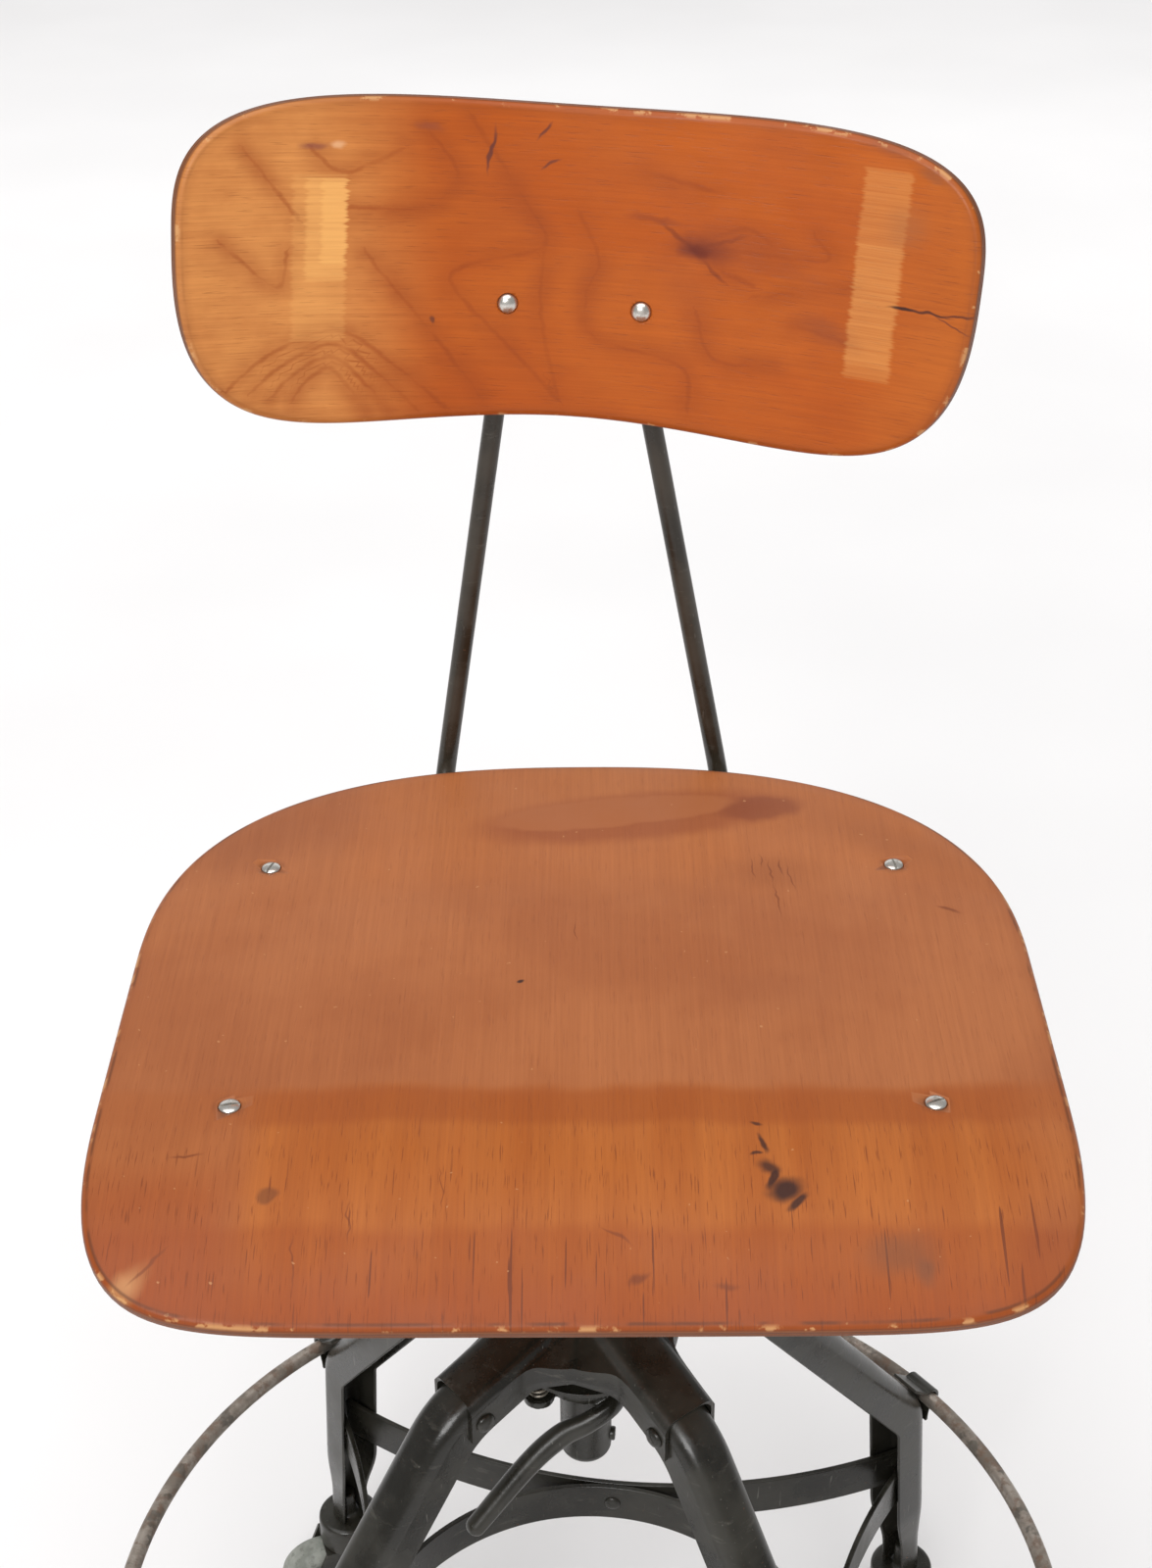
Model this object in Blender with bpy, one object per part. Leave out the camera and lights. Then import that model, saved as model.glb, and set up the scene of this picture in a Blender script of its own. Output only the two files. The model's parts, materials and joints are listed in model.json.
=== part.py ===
"""Drafting chair: bent plywood seat and back on a four-legged steel base with casters.

Metres, +Z up. The floor is z = 0 and the Z axis is the column's axis. The seat's front
faces -Y. The base stands a little turned about Z under the seat.
"""
import math

import bmesh
import bpy
from mathutils import Matrix, Vector

# ---- overall -------------------------------------------------------------------------
SEAT_HEIGHT = 0.630            # floor to the seat's top at its screws
BASE_TURN = math.radians(-6.9)  # how far the base is turned under the seat
GAP = 0.0003                   # left between faces that touch
SLIP = 0.0004                  # round a shaft or rod that slides or turns
LEG_ANGLES = (45, 135, 225, 315)

# ---- seat ----------------------------------------------------------------------------
SEAT_HALF_WIDTH = 0.197
SEAT_REAR_DEPTH = 0.162        # from the seat's widest line to its rear edge
SEAT_FRONT_DEPTH = 0.202       # from the widest line to the front edge
SEAT_WIDEST_Y = 0.020
SEAT_REAR_POWER = 2.48         # roundness of the rear outline, 2 is an ellipse
SEAT_FRONT_POWER = 8.0         # roundness of the front corners
SEAT_PLY = 0.010
SEAT_EDGE = 0.0035             # rounding of the seat's edge
SEAT_FRONT_DROP = 0.0229       # how far the front edge rolls down
SCREW_REAR = (0.1449, 0.0921)  # seat screws, half spacing and y
SCREW_FRONT = (0.1427, -0.0790)

# ---- back ----------------------------------------------------------------------------
BACK_HALF_WIDTH = 0.1798       # half the panel's width, along its curve
BACK_TOP = 0.0616              # panel centre to its top edge
BACK_BOTTOM = 0.0783           # panel centre to the middle of its bottom edge
BACK_TOP_POWER = 3.13
BACK_BOTTOM_POWER = 2.67
BACK_TOP_RISE = 0.0129         # how far the top edge rises towards the ends
BACK_BOTTOM_DROP = 0.0421      # how far the bottom edge drops towards the ends
BACK_CURVE = 0.360             # radius of the panel's front face
BACK_PLY = 0.009
BACK_EDGE = 0.003
BACK_CENTRE_Y = 0.2032         # front face at the panel's centre
BACK_CENTRE_RISE = 0.2582      # seat top to the panel's centre
BACK_LEAN = math.radians(6.6)
BACK_ROLL = math.radians(4.1)  # the panel hangs lower on its +X side
BACK_SCREW_X = 0.0302
BACK_SCREW_DROP = 0.0266       # panel centre to the screw line

# ---- seat iron -----------------------------------------------------------------------
BAR_WIDTH = 0.025
BAR_THICK = 0.003
BAR_OVERHANG = 0.012           # bar end past the screw
BAR_END_ROUND = 0.45           # corner rounding at the bar's end, as a share of its width
SCREW_SHANK = 0.0022           # radii of the screws
SCREW_HEAD = 0.0044
SCREW_DOME = 0.0012
SCREW_SINK = 0.0020            # depth of a seat screw's head in the plywood
BACK_DOME = 0.0026
BACK_SINK = 0.0008              # depth of a back screw's head in the plywood
SADDLE_HALF_WIDTH = 0.045
SADDLE_FLANGE = 0.012
SADDLE_SHEET = 0.0025
SOCKET_FLANGE = 0.032          # radius
SOCKET_CEILING = 0.004
SOCKET_WALL = 0.0065
SOCKET_DEPTH = 0.036
WASHER_THICK = 0.002
WASHER_HOLE = 0.004

# ---- back rods -----------------------------------------------------------------------
ROD_RADIUS = 0.00475
ROD_HALF_SPACING = 0.0704      # where the rods run under the seat
ROD_CORNER_CLEAR = 0.0095      # rod face to the seat's rear edge
ROD_BEND = 0.022
ROD_FRONT_STUB = 0.010         # rod end past its guide
PADDLE_HALF_WIDTH = 0.0075     # the rods' flattened upper ends
PADDLE_HALF_THICK = 0.0023
PADDLE_REACH = 0.024           # screw to where the flattening starts
PADDLE_TIP = 0.010
GUIDE_WALL = 0.0025            # rod guides under the seat
BOSS_RADIUS = 0.0065
BOSS_HEIGHT = 0.008
WING_SCREW_RADIUS = 0.0025
WING_SCREW_Y = 0.055
WING_HALF_SPAN = 0.013
WING_HALF_HEIGHT = 0.0055
WING_HALF_THICK = 0.002

# ---- column and hub ------------------------------------------------------------------
COLUMN_RADIUS = 0.0127
COLUMN_WALL = 0.003
COLUMN_BOTTOM = 0.343          # height of the column's rounded lower end
COLUMN_END_ROUND = 0.006
STOP_HEIGHT = 0.012            # stop button above the column's lower end
STOP_RADIUS = 0.0035
STOP_OUT = 0.002
HUB_SLEEVE_END = 0.0775        # how far the sleeves reach out from the axis
HUB_SHEET = 0.002
HUB_WEB_RADIUS = 0.046         # hub's edge between two sleeves
HUB_ARM_SKIRT = 0.019          # depth of the sleeves' sides
HUB_WEB_SKIRT = 0.010          # depth of the skirt midway between sleeves
HUB_SHOULDER = 0.005           # how far the rounded top falls to its edge
GUIDE_TUBE_WALL = 0.0033
GUIDE_TUBE_RISE = 0.012        # guide tube above the hub
GUIDE_COLLAR = 0.004           # width and height of its collar
GUIDE_PLATE_RADIUS = 0.035
GUIDE_PLATE_THICK = 0.0025
GUIDE_PLATE_DROP = 0.0105      # plate's top below the leg bend
GUIDE_TUBE_BELOW = 0.003
RIVET_RADIUS = 0.003
RIVET_HEAD = 0.005
RIVET_DOME = 0.0026
RIVET_REACH = 0.070
RIVET_DEPTH = 0.0135           # below the leg's ridge

# ---- lock lever ----------------------------------------------------------------------
LEVER_PIVOT_X = 0.030
LEVER_DROP = 0.016             # pivot below the guide plate
LEVER_BARREL = 0.0045          # radius
LEVER_BARREL_HALF = 0.007
PIN_RADIUS = 0.002
EAR_THICK = 0.0025
EAR_ROUND = 0.9                # ear's corner radius, as a share of the barrel's
PAWL_RADIUS = 0.022
PAWL_THICK = 0.004
PAWL_SLACK = 0.0016            # round the column
SPRING_X = -0.020
SPRING_Y = -0.020
SPRING_PAD = 0.0075
SPRING_RADIUS = 0.0042         # to the wire's centre
SPRING_WIRE = 0.0008           # radius
SPRING_TURNS = 5
# The arm's middle line from the pivot round the column's front to the handle's end, as
# steps from the pivot.
LEVER_STEPS = ((-0.003, 0.0, 0.0), (-0.0095, -0.008, -0.001), (-0.015, -0.019, -0.004),
               (-0.026, -0.0255, -0.010), (-0.038, -0.029, -0.016), (-0.053, -0.038, -0.028),
               (-0.0766, -0.056, -0.054))
LEVER_HALF_WIDTHS = (0.0035, 0.0037, 0.0044, 0.0047, 0.0055, 0.0056, 0.0052)
LEVER_HALF_HEIGHTS = (0.0035, 0.0045, 0.0050, 0.0058, 0.0062, 0.0056, 0.0048)
LEVER_SIDE = (0.55, -0.83, 0.0)              # the arm's width lies along this direction
LEVER_TIP = ((0.75, 0.5), (0.4, 0.85))       # width and reach of the rounded end, as shares
TONGUE_SHARE = 0.8             # width of the collar's tongue, as a share of the barrel's
PIN_HEAD = 1.7                 # the pin's head, as a share of its radius

# ---- legs ----------------------------------------------------------------------------
LEG_START = 0.026
LEG_SLOPE = math.radians(20)   # fall of the leg's top stretch
LEG_BEND = (0.088, 0.4275)     # ridge: distance from the axis, height
LEG_KNEE = (0.240, 0.222)
LEG_FOOT = (0.253, 0.076)
LEG_BEND_RADIUS = 0.055
LEG_KNEE_RADIUS = 0.035
LEG_HALF_WIDTH = 0.0125
LEG_DEPTH = 0.024
LEG_CORNER = 0.009             # outer radius of the channel's corners
LEG_SHEET = 0.002
FOOT_HALF_WIDTH = 0.0088
FOOT_DEPTH = 0.0176
FOOT_ROUND = 0.9               # foot's corner radius, as a share of its half width
TAPER_TOP = 0.140              # height where the channel starts to close in
TAPER_END = 0.095

# ---- ring, straps and hoop -----------------------------------------------------------
RING_ROD = 0.0043              # radius
CLIP_HALF_WIDTH = 0.009
CLIP_SHEET = 0.0018
CLIP_TAIL = 0.012
CLIP_FOLLOW = 0.6              # how far the band's ends turn with the leg's slope
STRAP_HEIGHT = 0.0254
STRAP_THICK = 0.003
STRAP_LEVEL = 0.163            # middle of the straps above the floor
STRAP_END_SIDE = 0.0074        # middle of the strap's end from the channel's side
STRAP_END_BACK = 0.0045        # and from its back
HOOP_RADIUS = 0.1225

# ---- casters -------------------------------------------------------------------------
WHEEL_RADIUS = 0.025
WHEEL_HALF_WIDTH = 0.010
WHEEL_CROWN = 0.004            # rounding of the tread's corners
WHEEL_BORE = 0.0045
AXLE_RADIUS = 0.0040
AXLE_HEAD = 0.0065
AXLE_HEAD_THICK = 0.0018
CAP_RADIUS = 0.0185
CAP_ROUND = 0.15               # rounding of the cap's shoulder, as a share of its radius
CAP_HEIGHT = 0.020
CAP_WALL = 0.003
STEM_RADIUS = 0.005
STEM_LENGTH = 0.018
STEM_CLEAR = 0.0025            # stem to the inside of the leg's foot
FORK_SHEET = 0.002
FORK_EYE_RIM = 0.001           # cheek's metal round the axle's head
FORK_FRONT = 0.012             # cheeks' reach ahead of the swivel
FORK_FRONT_DEPTH = 0.007
FORK_TOP_REACH = 0.9           # top plate's end, as a share of the trail
NECK_SHARE = 0.75              # axle's neck in the fork, as a share of its radius
AXLE_CHAMFER = 0.7
FORK_CLEAR = 0.0015            # wheel to fork, on each side
CASTER_TRAIL = 0.020
CASTER_DIRECTIONS = (192, 205, 168, 178)  # each wheel's trail, in degrees from the base's +X

SMOOTH_ANGLE = math.radians(35)


# ---- helpers -------------------------------------------------------------------------
def clear_scene():
    for old in list(bpy.data.objects):
        bpy.data.objects.remove(old, do_unlink=True)


def make_material(name, colour, roughness, metallic):
    mat = bpy.data.materials.new(name)
    mat.use_nodes = True
    shader = mat.node_tree.nodes["Principled BSDF"]
    shader.inputs["Base Color"].default_value = (*colour, 1.0)
    shader.inputs["Roughness"].default_value = roughness
    shader.inputs["Metallic"].default_value = metallic
    return mat


def wood(name):
    return make_material(name, (0.46, 0.19, 0.055), 0.38, 0.0)


def paint(name):
    return make_material(name, (0.065, 0.064, 0.055), 0.36, 0.35)


def steel(name):
    return make_material(name, (0.55, 0.53, 0.50), 0.30, 1.0)


def worn_steel(name):
    return make_material(name, (0.21, 0.18, 0.155), 0.50, 0.6)


def rubber(name):
    return make_material(name, (0.24, 0.25, 0.22), 0.60, 0.0)


def make_empty(name, place, parent=None):
    empty = bpy.data.objects.new(name, None)
    bpy.context.scene.collection.objects.link(empty)
    empty.parent = parent
    empty.matrix_local = place
    return empty


def add_object(name, mesh, material, parent=None, place=None):
    obj = bpy.data.objects.new(name, mesh)
    bpy.context.scene.collection.objects.link(obj)
    obj.parent = parent
    if place is not None:
        obj.matrix_local = place
    if material is not None:
        mesh.materials.clear()
        mesh.materials.append(material(name + "_finish"))
    return obj


def to_mesh(bm, name):
    bmesh.ops.recalc_face_normals(bm, faces=bm.faces)
    mesh = bpy.data.meshes.new(name)
    bm.to_mesh(mesh)
    bm.free()
    mesh.shade_smooth()
    mesh.set_sharp_from_angle(angle=SMOOTH_ANGLE)
    return mesh


def add_loops(bm, loops, closed_path=False):
    """Skin a list of equal point loops, with a flat cap at each end of an open path."""
    rings = [[bm.verts.new(point) for point in loop] for loop in loops]
    count = len(rings[0])
    pairs = list(zip(rings, rings[1:]))
    if closed_path:
        pairs.append((rings[-1], rings[0]))
    for first, second in pairs:
        for i in range(count):
            j = (i + 1) % count
            bm.faces.new((first[i], first[j], second[j], second[i]))
    if not closed_path:
        bm.faces.new(rings[0])
        bm.faces.new(rings[-1])
    return rings


def lathe(name, profile, steps=32):
    """Turn (radius, z) points round Z. A closed outline off the axis makes a ring."""
    bm = bmesh.new()
    on_axis = [abs(radius) < 1e-9 for radius, _ in profile]
    rings = []
    for (radius, z), centred in zip(profile, on_axis):
        if centred:
            rings.append([bm.verts.new((0.0, 0.0, z))])
        else:
            turns = [2 * math.pi * k / steps for k in range(steps)]
            rings.append([bm.verts.new((radius * math.cos(t), radius * math.sin(t), z)) for t in turns])
    pairs = list(zip(rings, rings[1:]))
    if not any(on_axis):
        pairs.append((rings[-1], rings[0]))
    for first, second in pairs:
        for i in range(steps):
            j = (i + 1) % steps
            corners = [first[i % len(first)], first[j % len(first)],
                       second[j % len(second)], second[i % len(second)]]
            unique = list(dict.fromkeys(corners))
            bm.faces.new(unique)
    return to_mesh(bm, name)


def cylinder_mesh(name, radius, low, high, steps=24):
    return lathe(name, ((0.0, low), (radius, low), (radius, high), (0.0, high)), steps)


def box_bm(low, high):
    bm = bmesh.new()
    bmesh.ops.create_cube(bm, size=1.0)
    for vert in bm.verts:
        vert.co = Vector([a + (c + 0.5) * (b - a) for c, a, b in zip(vert.co, low, high)])
    return bm


def arc(centre, radius, start, stop, steps):
    angles = [start + (stop - start) * k / steps for k in range(steps + 1)]
    return [(centre[0] + radius * math.cos(a), centre[1] + radius * math.sin(a)) for a in angles]


def round_corners(points, radii, steps):
    """Points of a polyline with each inner corner turned into an arc of its radius."""
    path = [Vector(points[0])]
    for before, corner, after, radius in zip(points, points[1:], points[2:], radii):
        corner = Vector(corner)
        into = (corner - Vector(before)).normalized()
        out = (Vector(after) - corner).normalized()
        turn = into.angle(out)
        reach = radius * math.tan(turn / 2)
        inward = (out - into).normalized()
        centre = corner + inward * radius / math.cos(turn / 2)
        start = corner - into * reach
        for k in range(steps + 1):
            angle = turn * k / steps
            spoke = (start - centre) * math.cos(angle) + into * radius * math.sin(angle)
            path.append(centre + spoke)
    path.append(Vector(points[-1]))
    return path


def smooth_line(points, steps):
    """A curve through all the points, rounded between them."""
    pts = [Vector(p) for p in points]
    ends = [2 * pts[0] - pts[1]] + pts + [2 * pts[-1] - pts[-2]]
    path = []
    for a, b, c, d in zip(ends, ends[1:], ends[2:], ends[3:]):
        for k in range(steps):
            t = k / steps
            path.append(0.5 * (2 * b + (c - a) * t + (2 * a - 5 * b + 4 * c - d) * t ** 2
                               + (3 * b - a - 3 * c + d) * t ** 3))
    path.append(pts[-1])
    return path


def frames_along(path, side):
    """Place, side axis and upper axis at each point of a path."""
    frames = []
    for i, place in enumerate(path):
        ahead = path[min(i + 1, len(path) - 1)] - path[max(i - 1, 0)]
        tangent = ahead.normalized()
        across = (side - tangent * side.dot(tangent)).normalized()
        frames.append((place, across, tangent.cross(across)))
    return frames


def ellipse_loop(frame, half_width, half_height, count):
    place, across, upper = frame
    angles = [2 * math.pi * k / count for k in range(count)]
    return [place + across * half_width * math.cos(a) + upper * half_height * math.sin(a) for a in angles]


def even_points(curve, count):
    """Evenly spaced points on a closed curve given as a dense list."""
    steps = [math.dist(a, b) for a, b in zip(curve, curve[1:] + curve[:1])]
    total = sum(steps)
    picked = []
    run = 0.0
    for here, step, there in zip(curve, steps, curve[1:] + curve[:1]):
        while len(picked) < count and len(picked) * total / count < run + step:
            t = (len(picked) * total / count - run) / step
            picked.append(tuple(a + (b - a) * t for a, b in zip(here, there)))
        run += step
    return picked


def inset(outline, distance):
    """Move each point of a counter-clockwise outline inwards by the distance."""
    moved = []
    for before, here, after in zip(outline[-1:] + outline[:-1], outline, outline[1:] + outline[:1]):
        along = Vector((after[0] - before[0], after[1] - before[1])).normalized()
        moved.append((here[0] - along.y * distance, here[1] + along.x * distance))
    return moved


def panel_mesh(name, outline, centre, rings, thickness, edge, place, edge_steps=2):
    """A sheet with rounded edges. place(a, b, depth) bends a flat point into space."""
    face = inset(outline, edge)
    loops = []
    for scale in rings:
        loops.append([(centre[0] + (a - centre[0]) * scale, centre[1] + (b - centre[1]) * scale, 0.0)
                      for a, b in face])
    top_count = len(loops)
    for k in range(edge_steps + 1):
        angle = math.pi / 2 * k / edge_steps
        moved = inset(outline, edge * (1 - math.sin(angle)))
        loops.append([(a, b, edge * (1 - math.cos(angle))) for a, b in moved])
    for k in range(edge_steps + 1):
        angle = math.pi / 2 * (1 - k / edge_steps)
        moved = inset(outline, edge * (1 - math.sin(angle)))
        loops.append([(a, b, thickness - edge * (1 - math.cos(angle))) for a, b in moved])
    for loop in reversed(loops[:top_count]):
        loops.append([(a, b, thickness) for a, b, _ in loop])
    bm = bmesh.new()
    verts = [[bm.verts.new(place(*point)) for point in loop] for loop in loops]
    count = len(outline)
    for first, second in zip(verts, verts[1:]):
        for i in range(count):
            j = (i + 1) % count
            bm.faces.new((first[i], first[j], second[j], second[i]))
    for ring, depth in ((verts[0], 0.0), (verts[-1], thickness)):
        middle = bm.verts.new(place(centre[0], centre[1], depth))
        for i in range(count):
            bm.faces.new((middle, ring[i], ring[(i + 1) % count]))
    return to_mesh(bm, name)


def hide_tool(obj):
    obj.hide_render = True
    obj.display_type = "WIRE"
    return obj


def combine(target, tool, operation):
    """Cut or join with another object, which stays as a hidden tool."""
    modifier = target.modifiers.new(operation.lower() + "_" + tool.name, "BOOLEAN")
    modifier.operation = operation
    modifier.solver = "EXACT"
    modifier.object = hide_tool(tool)


def turn_z(degrees):
    return Matrix.Rotation(math.radians(degrees), 4, "Z")


def move(x, y, z):
    return Matrix.Translation((x, y, z))


def along_axis(axis):
    """Rotation that lays a shape turned about Z along another axis."""
    return Vector((0, 0, 1)).rotation_difference(Vector(axis)).to_matrix().to_4x4()


# ---- seat ----------------------------------------------------------------------------
def seat_front():
    return SEAT_WIDEST_Y - SEAT_FRONT_DEPTH


def seat_roll_start():
    return SCREW_FRONT[1] - BAR_WIDTH / 2


def seat_surface(y):
    """Height of the seat's top and the slope of it, at y."""
    start = seat_roll_start()
    along = max(0.0, (start - y) / (start - seat_front()))
    slope = 2 * SEAT_FRONT_DROP * along / (start - seat_front())
    return SEAT_HEIGHT - SEAT_FRONT_DROP * along ** 2, slope


def seat_place(x, y, depth):
    height, slope = seat_surface(y)
    tilt = math.atan(slope)
    return Vector((x, y + depth * math.sin(tilt), height - depth * math.cos(tilt)))


def seat_outline(count):
    curve = []
    for k in range(2400):
        angle = 2 * math.pi * k / 2400
        power = SEAT_REAR_POWER if math.sin(angle) > 0 else SEAT_FRONT_POWER
        depth = SEAT_REAR_DEPTH if math.sin(angle) > 0 else SEAT_FRONT_DEPTH
        x = math.copysign(abs(math.cos(angle)) ** (2 / power), math.cos(angle))
        y = math.copysign(abs(math.sin(angle)) ** (2 / power), math.sin(angle))
        curve.append((SEAT_HALF_WIDTH * x, SEAT_WIDEST_Y + depth * y))
    return even_points(curve, count)


def seat_rear_edge(x):
    """y of the seat's rear outline at x."""
    share = abs(x / SEAT_HALF_WIDTH) ** SEAT_REAR_POWER
    return SEAT_WIDEST_Y + SEAT_REAR_DEPTH * (1 - share) ** (1 / SEAT_REAR_POWER)


def seat_screw_places():
    rear_x, rear_y = SCREW_REAR
    front_x, front_y = SCREW_FRONT
    return ((-rear_x, rear_y), (rear_x, rear_y), (-front_x, front_y), (front_x, front_y))


def bar_top():
    return SEAT_HEIGHT - SEAT_PLY - GAP


def build_seat():
    rings = (0.3, 0.5, 0.6, 0.68, 0.76, 0.84, 0.92)
    mesh = panel_mesh("seat", seat_outline(56), (0.0, SEAT_WIDEST_Y), rings, SEAT_PLY, SEAT_EDGE, seat_place)
    seat = add_object("seat", mesh, wood)
    bar_bottom = bar_top() - BAR_THICK
    for number, (x, y) in enumerate(seat_screw_places(), 1):
        shank = cylinder_mesh("shank_hole", SCREW_SHANK + GAP, bar_bottom, SEAT_HEIGHT + SCREW_DOME, 12)
        head = cylinder_mesh("head_hole", SCREW_HEAD + GAP, SEAT_HEIGHT - SCREW_SINK - GAP,
                             SEAT_HEIGHT + SCREW_DOME, 14)
        combine(seat, add_object(f"seat_shank_tool_{number}", shank, None, None, move(x, y, 0)), "DIFFERENCE")
        combine(seat, add_object(f"seat_head_tool_{number}", head, None, None, move(x, y, 0)), "DIFFERENCE")


def build_seat_screws():
    """Oval-headed screws whose shanks reach through the seat and its bars."""
    low = bar_top() - BAR_THICK - SCREW_HEAD / 2
    dome = arc((0.0, 0.0), 1.0, 0.0, math.pi / 2, 2)
    profile = [(0.0, low), (SCREW_SHANK, low), (SCREW_SHANK, SEAT_HEIGHT - SCREW_SINK)]
    profile.append((SCREW_HEAD, SEAT_HEIGHT - SCREW_SINK))
    profile += [(SCREW_HEAD * a, SEAT_HEIGHT + SCREW_DOME * b) for a, b in dome[:-1]]
    profile.append((0.0, SEAT_HEIGHT + SCREW_DOME))
    for number, (x, y) in enumerate(seat_screw_places(), 1):
        mesh = lathe(f"seat_screw_{number}", profile, 14)
        add_object(f"seat_screw_{number}", mesh, steel, None, move(x, y, 0))


def build_seat_bars():
    top = bar_top()
    for name, (half_spacing, y) in (("seat_bar_rear", SCREW_REAR), ("seat_bar_front", SCREW_FRONT)):
        half_length = half_spacing + BAR_OVERHANG
        bm = box_bm((-half_length, y - BAR_WIDTH / 2, top - BAR_THICK), (half_length, y + BAR_WIDTH / 2, top))
        upright = [edge for edge in bm.edges if abs(edge.verts[0].co.z - edge.verts[1].co.z) > BAR_THICK / 2]
        bmesh.ops.bevel(bm, geom=upright, offset=BAR_WIDTH * BAR_END_ROUND, segments=3, profile=0.5,
                        affect="EDGES")
        bar = add_object(name, to_mesh(bm, name), paint)
        for side, x in (("left", -half_spacing), ("right", half_spacing)):
            hole = cylinder_mesh("bar_hole", SCREW_SHANK + GAP, top - 2 * BAR_THICK, top + BAR_THICK, 12)
            combine(bar, add_object(f"{name}_tool_{side}", hole, None, None, move(x, y, 0)), "DIFFERENCE")


def saddle_top():
    return bar_top() - BAR_THICK - GAP


def build_saddle():
    """Channel under both bars that carries the swivel socket."""
    half, sheet, flange = SADDLE_HALF_WIDTH, SADDLE_SHEET, SADDLE_FLANGE
    section = [(-half, -flange), (-half, 0.0), (half, 0.0), (half, -flange),
               (half - sheet, -flange), (half - sheet, -sheet), (-half + sheet, -sheet),
               (-half + sheet, -flange)]
    front = SCREW_FRONT[1] - BAR_WIDTH / 2
    rear = SCREW_REAR[1] + BAR_WIDTH / 2
    bm = bmesh.new()
    add_loops(bm, [[Vector((x, y, saddle_top() + z)) for x, z in section] for y in (front, rear)])
    add_object("saddle", to_mesh(bm, "saddle"), paint)


def socket_top():
    return saddle_top() - SADDLE_SHEET - GAP


def column_top():
    return socket_top() - SOCKET_CEILING - WASHER_THICK - 2 * GAP


def build_swivel():
    """Socket that turns on the column's top, and the washer it rests on."""
    top = socket_top()
    bore = COLUMN_RADIUS + SLIP
    outer = bore + SOCKET_WALL
    profile = [(0.0, top), (SOCKET_FLANGE, top), (SOCKET_FLANGE, top - SOCKET_CEILING),
               (outer, top - SOCKET_CEILING), (outer, top - SOCKET_DEPTH), (bore, top - SOCKET_DEPTH),
               (bore, top - SOCKET_CEILING), (0.0, top - SOCKET_CEILING)]
    add_object("swivel_socket", lathe("swivel_socket", profile, 28), paint)
    high = top - SOCKET_CEILING - GAP
    low = high - WASHER_THICK
    radius = COLUMN_RADIUS - GAP
    ring = [(WASHER_HOLE, high), (radius, high), (radius, low), (WASHER_HOLE, low)]
    add_object("thrust_washer", lathe("thrust_washer", ring, 20), steel)


# ---- back ----------------------------------------------------------------------------
def back_frame():
    lean = Matrix.Rotation(-BACK_LEAN, 4, "X")
    roll = Matrix.Rotation(BACK_ROLL, 4, "Y")
    return move(0.0, BACK_CENTRE_Y, SEAT_HEIGHT + BACK_CENTRE_RISE) @ lean @ roll


def back_place(across, up, depth):
    """A point of the curved panel in its own frame, depth behind its front face."""
    angle = across / BACK_CURVE
    reach = BACK_CURVE + depth
    return Vector((reach * math.sin(angle), reach * math.cos(angle) - BACK_CURVE, up))


def back_outline(count):
    curve = []
    for k in range(2400):
        angle = 2 * math.pi * k / 2400
        upper = math.sin(angle) > 0
        power = BACK_TOP_POWER if upper else BACK_BOTTOM_POWER
        height = BACK_TOP if upper else BACK_BOTTOM
        flare = BACK_TOP_RISE if upper else -BACK_BOTTOM_DROP
        across = math.copysign(abs(math.cos(angle)) ** (2 / power), math.cos(angle))
        share = abs(math.sin(angle)) ** (2 / power)
        curve.append((BACK_HALF_WIDTH * across,
                      math.copysign(height * share, math.sin(angle)) + flare * across ** 2 * share))
    return even_points(curve, count)


def build_backrest():
    rings = (0.25, 0.5, 0.75)
    mesh = panel_mesh("backrest", back_outline(48), (0.0, 0.0), rings, BACK_PLY, BACK_EDGE, back_place)
    back = add_object("backrest", mesh, wood, None, back_frame())
    for side in (-1, 1):
        place = back_screw_place(side)
        seat = cylinder_mesh("head_seat", SCREW_HEAD + GAP, -BACK_SINK, BACK_DOME, 14)
        combine(back, add_object(f"back_seat_tool_{side + 2}", seat, None, None, place), "DIFFERENCE")
        hole = add_object(f"back_hole_tool_{side + 2}", back_hole_mesh(), None, None, place)
        combine(back, hole, "DIFFERENCE")


def back_screw_place(side):
    """Frame on the panel's front face, its Z pointing out of the wood at the front."""
    spot = back_place(side * BACK_SCREW_X, -BACK_SCREW_DROP, 0.0)
    angle = side * BACK_SCREW_X / BACK_CURVE
    out = along_axis((-math.sin(angle), -math.cos(angle), 0.0))
    return back_frame() @ Matrix.Translation(spot) @ out


def back_hole_mesh():
    depth = BACK_PLY + 4 * PADDLE_HALF_THICK
    return cylinder_mesh("back_hole", SCREW_SHANK + GAP, -depth, SCREW_DOME, 12)


def build_back_screws():
    """Dome-headed screws through the panel and the rods' flattened ends."""
    low = -(BACK_PLY + 2 * PADDLE_HALF_THICK + 3 * GAP + SCREW_SHANK)
    radius = SCREW_HEAD
    under = GAP - BACK_SINK
    dome = [(radius * a, BACK_DOME * b) for a, b in arc((0, 0), 1.0, 0.0, math.pi / 2, 3)]
    profile = [(0.0, low), (SCREW_SHANK, low), (SCREW_SHANK, under), (radius, under)] + dome[:-1]
    profile.append((0.0, BACK_DOME))
    for side, name in ((-1, "back_screw_left"), (1, "back_screw_right")):
        add_object(name, lathe(name, profile, 14), steel, None, back_screw_place(side))


def rod_level():
    return saddle_top() - ROD_RADIUS - SLIP - GUIDE_WALL


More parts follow.
